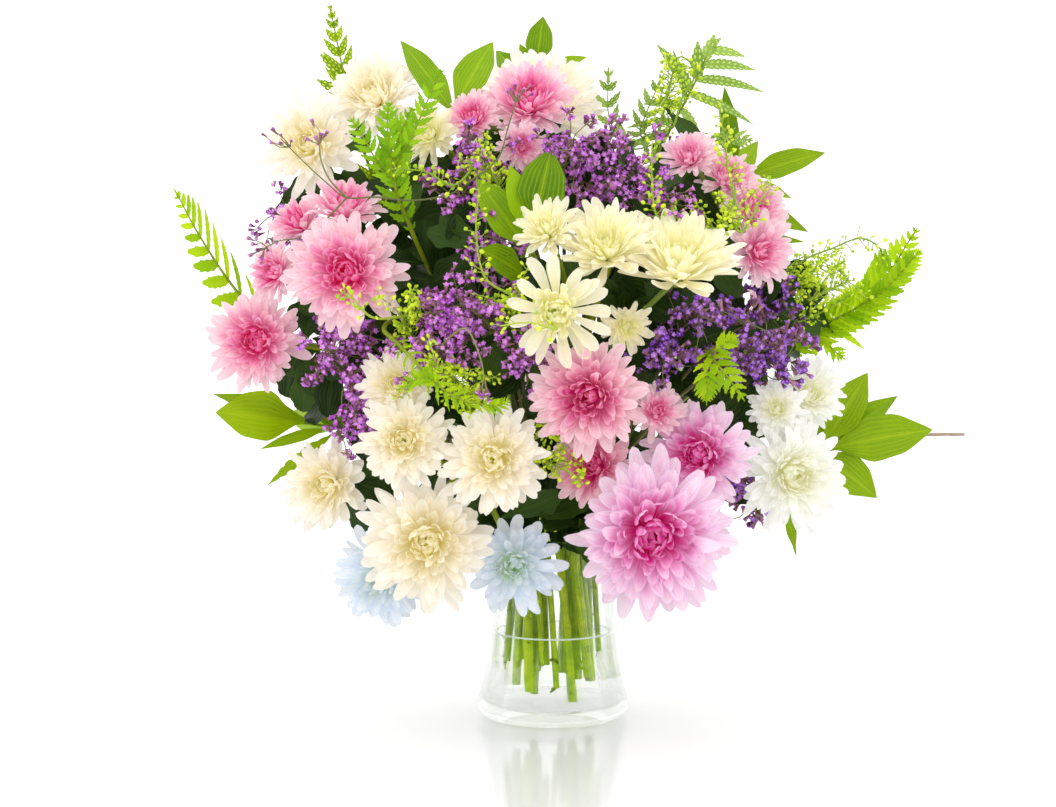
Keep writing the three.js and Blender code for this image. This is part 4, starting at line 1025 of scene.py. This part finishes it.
for node, (points, look, plan, sides) in FRONDS.items():
    centres, radius = stalk_of(node, 4)
    frond, stalk = Shape(), Shape()
    rachis = spline(seen_all(points), FROND_STEPS + 1)
    plan = {**SIDE_PLAN, **plan}
    if plan["pairs"]:
        add_pinnae(frond, rachis, plan, rng, plan["pairs"])
    for share, tip, nearer, width in LONG_LEAFLETS.get(node, []):
        base = on(rachis, share)
        tip = seen(*tip, base[1] + nearer)
        length = np.linalg.norm(tip - base)
        way = (tip - base) / length
        add_leaflet(frond, base, way, np.zeros(3), unit(LEAF_FACING - way * (LEAF_FACING @ way)), length,
                    1.3 * width, max(4, int(length / 3.2)), 0.24, rng.random(), 2.6)
    for share, side_points, pairs, scale in sides:
        side = spline([on(rachis, share), *seen_all(side_points)], FROND_STEPS // 2 + 1)
        add_pinnae(frond, side, SIDE_PLAN, rng, pairs, scale)
        add_rod(stalk, side, 0.6, 0.3, 6, rng)
    frond.build(node + "_leaflets", FERN_LOOKS[look], "fern", [node])
    low = smooth_path(np.vstack([centres, rachis[6]]))
    build_stalk(stalk, node, "fern", low, rachis[9::3], radius, 0.35, 8, 0.05)

for node, (points, leaves, look) in RUSCUS.items():
    centres, radius = stalk_of(node, 4)
    leafage, stalk = Shape(), Shape()
    course = seen_all(points)
    shoot = spline(course, 101)
    for share, tip, width, *lobes in leaves:
        if isinstance(share, tuple):
            base = seen(*share)
            start = on(shoot, 0.4)
            add_rod(leafage, spline([start, (start + base) / 2 + UP * 3, base], 12), 1.2, 0.7, 7, rng)
        else:
            base = on(shoot, share)
        lobes = sum(lobes)
        add_blade(leafage, base, seen(*tip), width, rng, rows=6 * lobes + 1 if lobes else 18, lobes=lobes)
    leafage.build(node + "_leaves", LEAF_DARK if look == "dark" else LEAF, "ruscus_leaf", [node])
    low = smooth_path(np.vstack([centres[:-1], course[0]]))
    build_stalk(stalk, node, "ruscus_leaf", low, spline(course, 30)[1:], radius, 0.8, 10, 0.04)
    if node == "ruscus_right":
        twig = Shape()
        way = spline([on(shoot, 0.96), *seen_all(DRY_TWIG)], 30)
        way[:, 2] += np.sin(np.linspace(0, 9, 30)) * 0.25
        knots = 1 + 0.1 * np.sin(np.arange(30) * 1.7)
        tube(twig, way, np.linspace(1.5, 0.95, 30) * knots, 9, ridges=0.08)
        twig.build("dry_twig", BARK, "ruscus_leaf")


# ---- statice and pod sprays ----

def turns_to(ways, rng):
    """Matrices that turn +Z to each way, with a random turn about it."""
    ways = unit(ways)
    helper = np.where(np.abs(ways[:, 2:3]) < 0.9, UP, np.array([1.0, 0.0, 0.0]))
    x = unit(np.cross(helper, ways))
    y = np.cross(ways, x)
    angle = rng.uniform(0, 2 * np.pi, len(ways))[:, None]
    return np.stack([x * np.cos(angle) + y * np.sin(angle), y * np.cos(angle) - x * np.sin(angle), ways], -1)


def ring(count, radius, z, flat=1.0, shift=0.0):
    """Points of a level ring round the Z axis, its depth along Y flattened."""
    angle = np.arange(count) * 2 * np.pi / count + shift
    return stacked(radius * np.cos(angle), flat * radius * np.sin(angle), z)


def bands(rows, sides):
    """Quads that join each of a pile of rings to the next."""
    return np.array([(r * sides + i, r * sides + (i + 1) % sides, (r + 1) * sides + (i + 1) % sides,
                      (r + 1) * sides + i) for r in range(rows) for i in range(sides)])


def floret_template():
    """A papery funnel with five notched lobes, 4.4 mm across."""
    rim = np.where(np.arange(10) % 2 == 0, 1.35, 2.3)
    points = np.concatenate([ring(5, 0.3, -1.6), ring(5, 0.95, 1.2), ring(10, rim, 2.1), [[0, 0, 0.9]]])
    points[11:20:2, 2] += 0.25
    tris = []
    for i in range(5):
        a, b = 5 + i, 5 + (i + 1) % 5
        low, tip, high = 10 + 2 * i, 11 + 2 * i, 10 + (2 * i + 2) % 10
        tris += [(a, low, tip), (a, tip, b), (b, tip, high), (a, b, 20)]
    share = np.repeat([0.0, 0.5, 1.0, 0.4], [5, 5, 10, 1])
    return points, (bands(1, 5), np.array(tris)), stacked(share, share, 0, np.where(share == 0.4, 0.75, 0))


def cup_template():
    """The dry cup that a floret sits in."""
    points = np.concatenate([ring(5, 0.25, -3.2), ring(5, 0.75, -0.6), ring(5, 1.25, 0.9, shift=0.3)])
    share = np.repeat([0.0, 0.5, 1.0], 5)
    return points, (bands(2, 5),), stacked(share, share, 0, 0)


def pod_template():
    """A small flat round pod with a pointed end."""
    profile = [(0.2, 0.0), (1.15, 0.5), (1.75, 1.5), (1.7, 2.4), (0.95, 3.2), (0.12, 3.7)]
    points = np.concatenate([ring(8, radius, z, flat=0.5) for radius, z in profile])
    share = np.repeat(np.linspace(0, 1, 6), 8)
    return points, (bands(5, 8),), stacked(share, share, 0, np.where(share > 0.9, 0.8, 0))


FLORET_SHAPE, CUP_SHAPE, POD_SHAPE = floret_template(), cup_template(), pod_template()
TUFTS = {
    "statice_centre": FLORET, "statice_left": FLORET, "statice_top": FLORET,
    "statice_right": FLORET_BLUE, "pods_left": POD, "pods_top": POD, "pods_right": POD,
}
MIDDLE = np.array([0.0, 0.0, 232.0])
SPRAY_ROOM = np.array([190.0, 160.0, 172.0])
LEAF_ROOM = np.array([152.0, 112.0, 138.0])
SIDE_TWIGS = 14
FLORETS_EACH = 8
PODS_EACH = 14
BUDS_EACH = 7


def inside(point, room):
    """Whether a point lies within a rounded room about the bouquet's middle."""
    return (((point - MIDDLE) / room) ** 2).sum() < 1


def add_twiglet(shape, start, end, rng, radius=0.4):
    middle = (start + end) / 2 + rng.normal(0, 0.08, 3) * np.linalg.norm(end - start)
    add_rod(shape, spline([start, middle, end], 5), radius, radius * 0.6, 4, rng, cap=False)


def flower_twig(florets, cups, twigs, path, corners, rng, cup_size):
    """Clusters of florets at the whorl corners of a twig and on more side twigs between them."""
    spots, ways = [], []
    for corner in corners:
        foot = path[np.argmin(np.linalg.norm(path - corner, axis=1))]
        add_twiglet(twigs, foot, corner, rng)
        spots.append(corner)
        ways.append(unit(corner - foot) * 0.7 + UP * 0.3 + TO_VIEWER * 0.5)
    first = int(len(path) * 0.35)
    for _ in range(SIDE_TWIGS):
        row = rng.integers(first, len(path))
        out = unit(rng.normal(0, 1, 3) + TO_VIEWER * 0.5 * np.sign(-path[-1][1]) + UP * 0.15)
        end = path[row] + out * rng.uniform(8, 27)
        if free_of_blooms(end[None], 0.9)[0] and inside(end, SPRAY_ROOM):
            add_twiglet(twigs, path[row], end, rng)
            spots.append(end)
            ways.append(out + TO_VIEWER * 0.4)
    copies = np.repeat(np.array(spots), FLORETS_EACH, axis=0)
    headings = np.repeat(unit(np.array(ways)), FLORETS_EACH, axis=0)
    offset = rng.normal(0, 1, copies.shape)
    offset -= headings * np.einsum("ij,ij->i", offset, headings)[:, None]
    offset = unit(offset) * (4.4 * np.sqrt(rng.random(len(copies))))[:, None]
    places = copies + offset + headings * rng.normal(0.4, 1.5, len(copies))[:, None]
    headings = unit(headings + offset * 0.2 + rng.normal(0, 0.35, copies.shape))
    keep = free_of_blooms(places, 0.93)
    places, headings = places[keep], headings[keep]
    turns = turns_to(headings, rng)
    size = rng.uniform(0.58, 0.92, len(places))
    chance = rng.random(len(places))
    florets.scatter(FLORET_SHAPE, places, turns, size * rng.choice([0.6, 1.0, 1.0, 1.0], len(size)), chance)
    cups.scatter(CUP_SHAPE, places, turns, size * cup_size * 1.25, chance)


def pod_twig(pods, twigs, path, rng, count=48, reach=6.0, extra=7, clear=0.9):
    """A raceme of pods on curved stalks round a twig, and loose side twigs with fewer pods."""
    order = np.linspace(0.3, 1.0, count)
    rows = np.minimum((order * (len(path) - 1)).astype(int), len(path) - 1)
    along, across, outward = frames_along(path, SLANT)
    turn = np.arange(count) * GOLDEN + rng.normal(0, 0.3, count)
    out = turned(across[rows], outward[rows], turn)
    length = reach * (1.15 - 0.45 * order) * rng.uniform(0.8, 1.2, count)
    start = path[rows]
    end = start + out * length[:, None] + along[rows] * (length * 0.5)[:, None]
    keep = free_of_blooms(end, clear)
    for s, e in zip(start[keep], end[keep]):
        add_twiglet(twigs, s, e, rng, 0.34)
    ways = unit(out + along[rows] * 0.7 + rng.normal(0, 0.2, out.shape))[keep]
    size = (rng.uniform(0.6, 0.95, count) * (1.1 - 0.3 * order))[keep]
    pods.scatter(POD_SHAPE, end[keep], turns_to(ways, rng), size, rng.random(keep.sum()))
    for _ in range(extra):
        row = rng.integers(len(path) // 3, len(path))
        way = unit(rng.normal(0, 1, 3) + along[row] * 0.4 + TO_VIEWER * 0.4 + UP * 0.3)
        side = path[row] + way * (rng.uniform(12, 26) * np.linspace(0, 1, 8))[:, None]
        side[:, 2] += 1.5 * np.sin(np.linspace(0, 3, 8))
        if not free_of_blooms(side[4:], 0.92).all() or not inside(side[-1], SPRAY_ROOM):
            continue
        add_rod(twigs, side, 0.4, 0.25, 5, rng)
        turn = rng.normal(0, 1, (PODS_EACH, 3))
        rows = rng.integers(3, 8, PODS_EACH)
        ends = side[rows] + unit(turn) * rng.uniform(1.5, 3.5, PODS_EACH)[:, None]
        for s, e in zip(side[rows], ends):
            add_twiglet(twigs, s, e, rng, 0.25)
        pods.scatter(POD_SHAPE, ends, turns_to(unit(turn), rng), rng.uniform(0.45, 0.8, PODS_EACH),
                     rng.random(PODS_EACH))


RACEMES = {
    # node: racemes that spring from the nearest twig (seen points, pods, length of their stalks)
    "pods_right": [([(130, 250, -24), (148, 272, -26), (166, 280, -24), (184, 286, -20), (195, 280, -18),
        (197, 271, -18)], 40, 5.5), ([(139, 234, -20), (160, 242, -22), (178, 253, -20)], 14, 4.5),
        ([(136, 262, -26), (142, 270, -26), (150, 276, -26)], 14, 4.0)],
    "pods_top": [([(71, 352, -34), (77, 370, -32), (84, 382, -28), (82, 390, -26), (76, 394, -26),
        (71, 391, -26)], 16, 2.4), ([(62, 300, -112), (59, 320, -112), (59, 344, -108)], 34, 4.5),
        ([(104, 330, -88), (102, 346, -80), (98, 366, -70)], 34, 4.0),
        ([(112, 290, -96), (122, 306, -90), (130, 320, -80)], 22, 5.0),
        ([(-60, 318, -112), (-76, 326, -114), (-97, 328, -112)], 26, 3.6)],
    "pods_left": [([(-4, 116, -46), (-9, 94, -46), (-15, 62, -46)], 26, 4.0),
        ([(-110, 240, -146), (-120, 250, -148), (-126, 254, -146)], 16, 3.6),
        ([(-40, 262, -128), (-46, 290, -124), (-44, 316, -118)], 30, 5.0),
        ([(2, 232, -160), (-14, 236, -156), (-32, 234, -150)], 22, 4.4)],
}
SPRIGS = {
    # node: seen points of dry twigs that spring from the nearest twig and end in a few buds
    "statice_centre": [[(-64, 312, -112), (-84, 309, -120), (-106, 311, -122), (-124, 311, -120),
        (-136, 320, -112), (-149, 332, -100), (-163, 346, -90)],
        [(-124, 311, -120), (-134, 322, -110), (-139, 334, -104), (-140, 348, -98)],
        [(-124, 311, -120), (-136, 298, -100), (-152, 287, -106), (-164, 285, -112), (-176, 279, -108)],
        [(-50, 320, -112), (-33, 334, -112), (-27, 352, -108), (-20, 376, -100)],
        [(-52, 232, -150), (-44, 216, -152), (-40, 196, -150)]],
}


def sprung(points, own_paths):
    """A path through seen points, led in from the nearest twig of its own plant."""
    course = seen_all(points)
    twigs = np.concatenate([path[len(path) // 4:] for path in own_paths])
    away = np.linalg.norm(twigs - course[0], axis=1)
    if away.min() < NEAR:
        course = course[1:]
    return spline([twigs[np.argmin(away)], *course], 14 * len(course))


rng = np.random.default_rng(31)
for node, material in TUFTS.items():
    centres, radius = stalk_of(node, 4)
    main = smooth_path(centres)
    flowers, cups, twigs, stalk = Shape(), Shape(), Shape(), Shape()
    paths[node] = [main]
    podded = node.startswith("pods")
    slot = "green_pods" if podded else "statice_florets"
    add_rod(stalk, main, radius * 1.1, radius * 0.9, 10, rng, 0.05)
    stalk.build(node + "_stalk", STEM, slot)
    for rings in branches_of(node, TWIG_EDGE):
        path = smooth_path(rooted(centres_of(rings), main), 2.0)
        add_rod(twigs, path, 1.2, 0.5, 6, rng, 0.05)
        paths[node].append(path)
        if podded:
            pod_twig(flowers, twigs, path, rng)
        else:
            corners = [corner for ring in rings for corner in ring
                       if np.linalg.norm(corner - ring.mean(axis=0)) > 2.5]
            flower_twig(flowers, cups, twigs, path, corners, rng, 1.3 if node == "statice_right" else 1.0)
    for points, count, reach in RACEMES.get(node, []):
        path = sprung(points, paths[node])
        add_rod(twigs, path, 0.8, 0.35, 6, rng)
        pod_twig(flowers, twigs, path, rng, count, reach, 0, 1.0)
    standing = list(paths[node])
    for points in SPRIGS.get(node, []):
        path = sprung(points, standing)
        standing.append(path)
        add_rod(twigs, path, 0.6, 0.3, 6, rng)
        spots = path[-1] + rng.normal(0, 3.2, (BUDS_EACH, 3))
        for spot in spots:
            add_twiglet(twigs, path[-6], spot, rng, 0.3)
        ways = spots - path[-6]
        size = rng.uniform(0.5, 0.8, BUDS_EACH)
        flowers.scatter(FLORET_SHAPE, spots, turns_to(ways, rng), size, rng.random(BUDS_EACH))
        cups.scatter(CUP_SHAPE, spots, turns_to(ways, rng), size * 1.3, rng.random(BUDS_EACH))
    flowers.build(f"{node}_{'pods' if podded else 'florets'}", material, slot, [node])
    twigs.build(node + "_twigs", PODSTALK if podded else TWIG, slot)
    if cups.count:
        cups.build(node + "_cups", CUP, slot)

# ---- foliage on the stems inside the bouquet, near black as painted shade ----

# Seen x, seen z and depth y of the tips of near-black leaves that stand behind the flowers' gaps as painted
# shade.
SHADED = [
    (-121, 340, -20), (-121, 322, -15), (-124, 350, -10), (-150, 314, -25), (-92, 296, -30),
    (-86, 316, -20), (-95, 278, -35), (-80, 262, -50), (-68, 300, -45), (-110, 300, -25), (-152, 214, -20),
    (-143, 205, -25), (-149, 195, -20), (-158, 202, -15), (-134, 192, -30), (-128, 210, -35),
    (-102, 200, -50), (-92, 232, -60), (-74, 250, -60), (-140, 180, -20), (-116, 172, -40),
    (-125, 128, -25), (-116, 120, -30), (-60, 190, -70), (-30, 200, -80), (148, 262, -10), (154, 250, -8),
    (142, 244, -20), (160, 238, -6), (148, 232, -16), (138, 256, -20), (86, 340, -20), (62, 316, -30),
    (52, 306, -40), (74, 300, -40), (40, 330, -25), (14, 326, -40), (10, 210, -70), (70, 200, -60),
    (104, 180, -50), (120, 196, -40), (-8, 128, -60), (2, 116, -50), (-52, 128, -60), (-56, 330, -35),
    (-64, 280, -55), (-44, 250, -60), (24, 100, -60), (36, 330, -40), (112, 134, -40), (18, 313, -60),
    (10, 318, -50), (28, 318, -50), (96, 320, -40), (88, 312, -50), (102, 306, -30), (-66, 285, -40),
    (-70, 272, -45), (-75, 336, -30), (-60, 322, -40), (80, 246, -60), (90, 240, -50), (64, 226, -70),
    (104, 262, -40), (-100, 262, -40), (-108, 282, -30), (-112, 232, -50), (-118, 222, -40), (96, 292, -50),
    (48, 300, -60), (-106, 150, -50), (-121, 318, -10), (-64, 292, -20), (-70, 284, -10), (-84, 276, -20),
    (-60, 284, -30), (74, 322, -10), (82, 312, -10), (90, 302, -10), (94, 258, -20), (104, 252, -20),
    (84, 262, -30), (52, 300, -20), (16, 312, -20), (8, 308, -30), (26, 306, -20), (-108, 138, -30),
    (-112, 146, -20), (114, 168, -20), (112, 156, -20), (118, 176, -30), (-140, 248, -40), (-134, 239, -40),
    (-146, 238, -30), (-128, 246, -50), (-136, 228, -40), (-84, 326, -40), (-80, 314, -40), (-88, 310, -30),
    (-76, 322, -50), (-82, 276, -50), (-79, 268, -50), (-84, 262, -50), (-72, 300, -50), (-94, 300, -40),
    (-100, 290, -40), (-82, 322, -66), (-86, 314, -70), (-80, 290, -66), (-76, 284, -70), (-90, 328, -60),
    (-108, 136, -50), (-102, 132, -44), (108, 160, -40), (104, 150, -36), (116, 150, -30)
]
# Seen x and z of small leaf bases left on the stems inside the vase.
LEAF_BASES = [
    (-38, 36), (-40, 27), (-34, 42), (1, 34), (4, 34), (2, 9), (8, 8), (-14, 44), (22, 36), (38, 27),
    (44, 49), (-30, 66), (-8, 78), (30, 60), (-42, 60), (46, 73), (36, 88), (-36, 74)
]
# Heights that leaves of each kind stand above or, in the vase, below.
FILL_ABOVE, SHADED_ABOVE, SCRAPS_BELOW = 118, 112, 115
MOST_LEAVES, MOST_TRIES = 620, 6000
NEAREST_STEM, PAST_TIP = 14, 13
SCRAP_DEPTH = -20

rng = np.random.default_rng(47)
foliage = Shape()
sources = [path[len(path) // 3:] for group in paths.values() for path in group]
placed = 0
for _ in range(MOST_TRIES):
    if placed == MOST_LEAVES:
        break
    path = sources[rng.integers(len(sources))]
    base = path[rng.integers(len(path))]
    if base[2] < FILL_ABOVE:
        continue
    out = unit(unit(base - HEART + UP * 20) + rng.normal(0, 0.65, 3))
    length = rng.uniform(26, 46)
    tip = base + out * length
    if not inside(tip, LEAF_ROOM) or not free_of_blooms(np.array([tip, (base + tip) / 2]), 0.8).all():
        continue
    add_blade(foliage, base, tip, length * rng.uniform(0.42, 0.6), rng, rows=16,
              facing=unit(rng.normal(0, 0.5, 3) + TO_VIEWER + UP * 0.4), fold=0.1,
              arch=rng.uniform(-0.05, 0.2), outline=FILL_OUTLINE, lobes=3, wave=0.12)
    placed += 1
stations = np.concatenate([path[path[:, 2] > SHADED_ABOVE] for path in sources])
for x, z, y in SHADED:
    tip = seen(x, z, y)
    away = np.linalg.norm(stations - tip, axis=1)
    base = stations[np.argmin(np.where(away > NEAREST_STEM, away, 1e9))]
    length = np.linalg.norm(tip - base)
    tip = tip + unit(tip - base) * PAST_TIP
    add_blade(foliage, base, tip, min(max(20.0, 0.62 * length), 29.0), rng,
              facing=unit(rng.normal(0, 0.25, 3) + TO_VIEWER + UP * 0.3), fold=0.1, arch=0.06,
              outline=SHADED_OUTLINE, lobes=3, wave=0.1)
foliage.build("stem_foliage", PAINTED_SHADE_FOLIAGE, "green_stems")

scraps = Shape()
low_paths = np.concatenate([path[path[:, 2] < SCRAPS_BELOW] for group in paths.values() for path in group])
for x, z in LEAF_BASES:
    spot = seen(x, z, SCRAP_DEPTH)
    base = low_paths[np.argmin(np.linalg.norm((low_paths - spot) * [1, 0.35, 1], axis=1))]
    for _ in range(3):
        way = unit(rng.normal(0, 0.6, 3) + TO_VIEWER)
        add_blade(scraps, base, base + way * rng.uniform(3.5, 6.0), rng.uniform(2.0, 3.4), rng, rows=8,
                  facing=unit(rng.normal(0, 0.4, 3) + UP), fold=0.1, outline=SCRAP_OUTLINE, lobes=2,
                  wave=0.05)
scraps.build("stem_leaf_bases", LEAF_DARK, "green_stems")

# ---- vase and water ----

VASE_HEIGHT, FOOT, BELLY, BELLY_HEIGHT, NECK, NECK_HEIGHT = 108.0, 37.0, 45.7, 8.0, 37.4, 60.0
WALL, FLOOR, WATER_LEVEL = 3.0, 8.0, 50.0
LIP = WALL / 2
# Radii of the small hole at the axis and of an inner ring on flat discs.
AXIS, FLAT = 0.05, 20
FILLET_ACROSS, FILLET_UP = 6, 5
# How far the water reaches into the glass, and the width and height of its raised edge.
OVERLAP, MENISCUS, RAISED = 0.15, 3, 1.2
FLOOR_RINGS = (1.0, 300.0, 1200.0, 6000.0)


def vase_radius(z):
    rise = np.clip((z - BELLY_HEIGHT) / (NECK_HEIGHT - BELLY_HEIGHT), 0, 1)
    return NECK + (BELLY - NECK) * (1 - rise) ** 2


def lathe(name, material, slot, profile, replaces=()):
    """Builds a body turned round the Z axis from its profile of (radius, z)."""
    profile = np.array(profile, float)
    angle = circle(128)
    points = stacked(profile[:, :1] * np.cos(angle), profile[:, :1] * np.sin(angle), profile[:, 1:])
    shape = Shape()
    shape.grid(points[None], wrap=True)
    shape.build(name, material, slot, replaces)


def floor_edge(more):
    """The rounded edge of the vase's inner floor, or of a body that is larger by a little more."""
    return [(low - FILLET_ACROSS + (FILLET_ACROSS + more) * math.cos(a),
             FLOOR + FILLET_UP - (FILLET_UP + more) * math.sin(a))
            for a in np.linspace(0, np.pi / 2, 8)[1:]]


low = vase_radius(FLOOR) - WALL
brow = VASE_HEIGHT - LIP
outer = [(AXIS, 0.0), (FLAT, 0.0), (FOOT, 0.0)]
outer += [(FOOT + (BELLY - FOOT) * math.sin(a), BELLY_HEIGHT * (1 - math.cos(a)))
          for a in np.linspace(0, np.pi / 2, 12)[1:]]
outer += [(vase_radius(z), z) for z in np.linspace(BELLY_HEIGHT, brow, 40)[1:]]
outer += [(vase_radius(VASE_HEIGHT) - LIP + LIP * math.cos(a), brow + LIP * math.sin(a))
          for a in np.linspace(0, np.pi, 9)[1:]]
inner = [(vase_radius(z) - WALL, z) for z in np.linspace(brow, FLOOR + FILLET_UP, 36)[1:]]
inner += floor_edge(0) + [(FLAT, FLOOR), (AXIS, FLOOR)]
lathe("vase_glass", GLASS, "vase_glass", outer + inner, ["vase"])

edge = vase_radius(WATER_LEVEL) - WALL + OVERLAP
body = [(AXIS, WATER_LEVEL), (FLAT, WATER_LEVEL), (edge - MENISCUS, WATER_LEVEL)]
body += [(edge - MENISCUS + MENISCUS * t, WATER_LEVEL + RAISED * t ** 3) for t in (0.4, 0.7, 0.88, 1.0)]
body += [(vase_radius(z) - WALL + OVERLAP, z) for z in np.linspace(WATER_LEVEL, FLOOR + FILLET_UP, 24)]
body += floor_edge(OVERLAP) + [(AXIS, FLOOR - OVERLAP)]
lathe("vase_water", WATER, "water", body[::-1], ["water"])
# The ring at the water line is a painted highlight, white and glowing, for the bright edge of the water.
lathe("water_line_painted_highlight", BRIM_HIGHLIGHT, "water", [(edge - 0.8 + 0.45 * math.cos(a), WATER_LEVEL + 0.9 + 0.45 * math.sin(a))
                                    for a in np.linspace(0, 2 * np.pi, 9)])


# ---- the plain pale setting ----

def stage_floor():
    n = Nodes("floor_white")
    grain = n.noise(n.place(), 3.0)
    colour = n.ramp(grain, (0.3, (236, 236, 237)), (0.7, (239, 239, 239)))
    material = n.surface(colour, n.span(grain, 0.3, 0.7, 0.08, 0.11), Specular_IOR_Level=0.5)
    floor = Shape()
    floor.grid(np.array([ring(96, radius, 0.0) for radius in FLOOR_RINGS])[None], wrap=True)
    mesh = bpy.data.meshes.new("floor")
    mesh.from_pydata((floor.points[0] * MM).tolist(), [], floor.quads[0][:, ::-1].tolist())
    mesh.materials.append(material)
    piece = bpy.data.objects.new("floor", mesh)
    piece.location = (0, 0, -0.0002)
    bpy.context.scene.collection.objects.link(piece)


def soft_lamp(name, place, side, power):
    """A square lamp, in metres and watts, that faces the middle of the bouquet."""
    lamp = bpy.data.lights.new(name, "AREA")
    lamp.shape = "RECTANGLE"
    lamp.size = lamp.size_y = side
    lamp.energy = power
    holder = bpy.data.objects.new(name, lamp)
    bpy.context.scene.collection.objects.link(holder)
    holder.location = place
    way = unit(np.array((0, 0, 0.2)) - np.array(place))
    holder.rotation_mode = "XYZ"
    holder.rotation_euler = (math.acos(-way[2]), 0, math.atan2(way[0], -way[1]))


stage_floor()
world = bpy.data.worlds.new("studio")
bpy.context.scene.world = world
world.use_nodes = True
world.node_tree.nodes["Background"].inputs["Color"].default_value = (1, 1, 1, 1)
world.node_tree.nodes["Background"].inputs["Strength"].default_value = 1.4
soft_lamp("key", (-0.9, -1.7, 1.6), 0.9, 44.0)
soft_lamp("fill", (1.5, -1.3, 0.9), 1.0, 14.0)
soft_lamp("front", (0.1, -2.2, 0.25), 0.8, 22.0)

bpy.context.scene.view_settings.view_transform = "Standard"
bpy.context.scene.view_settings.look = "None"
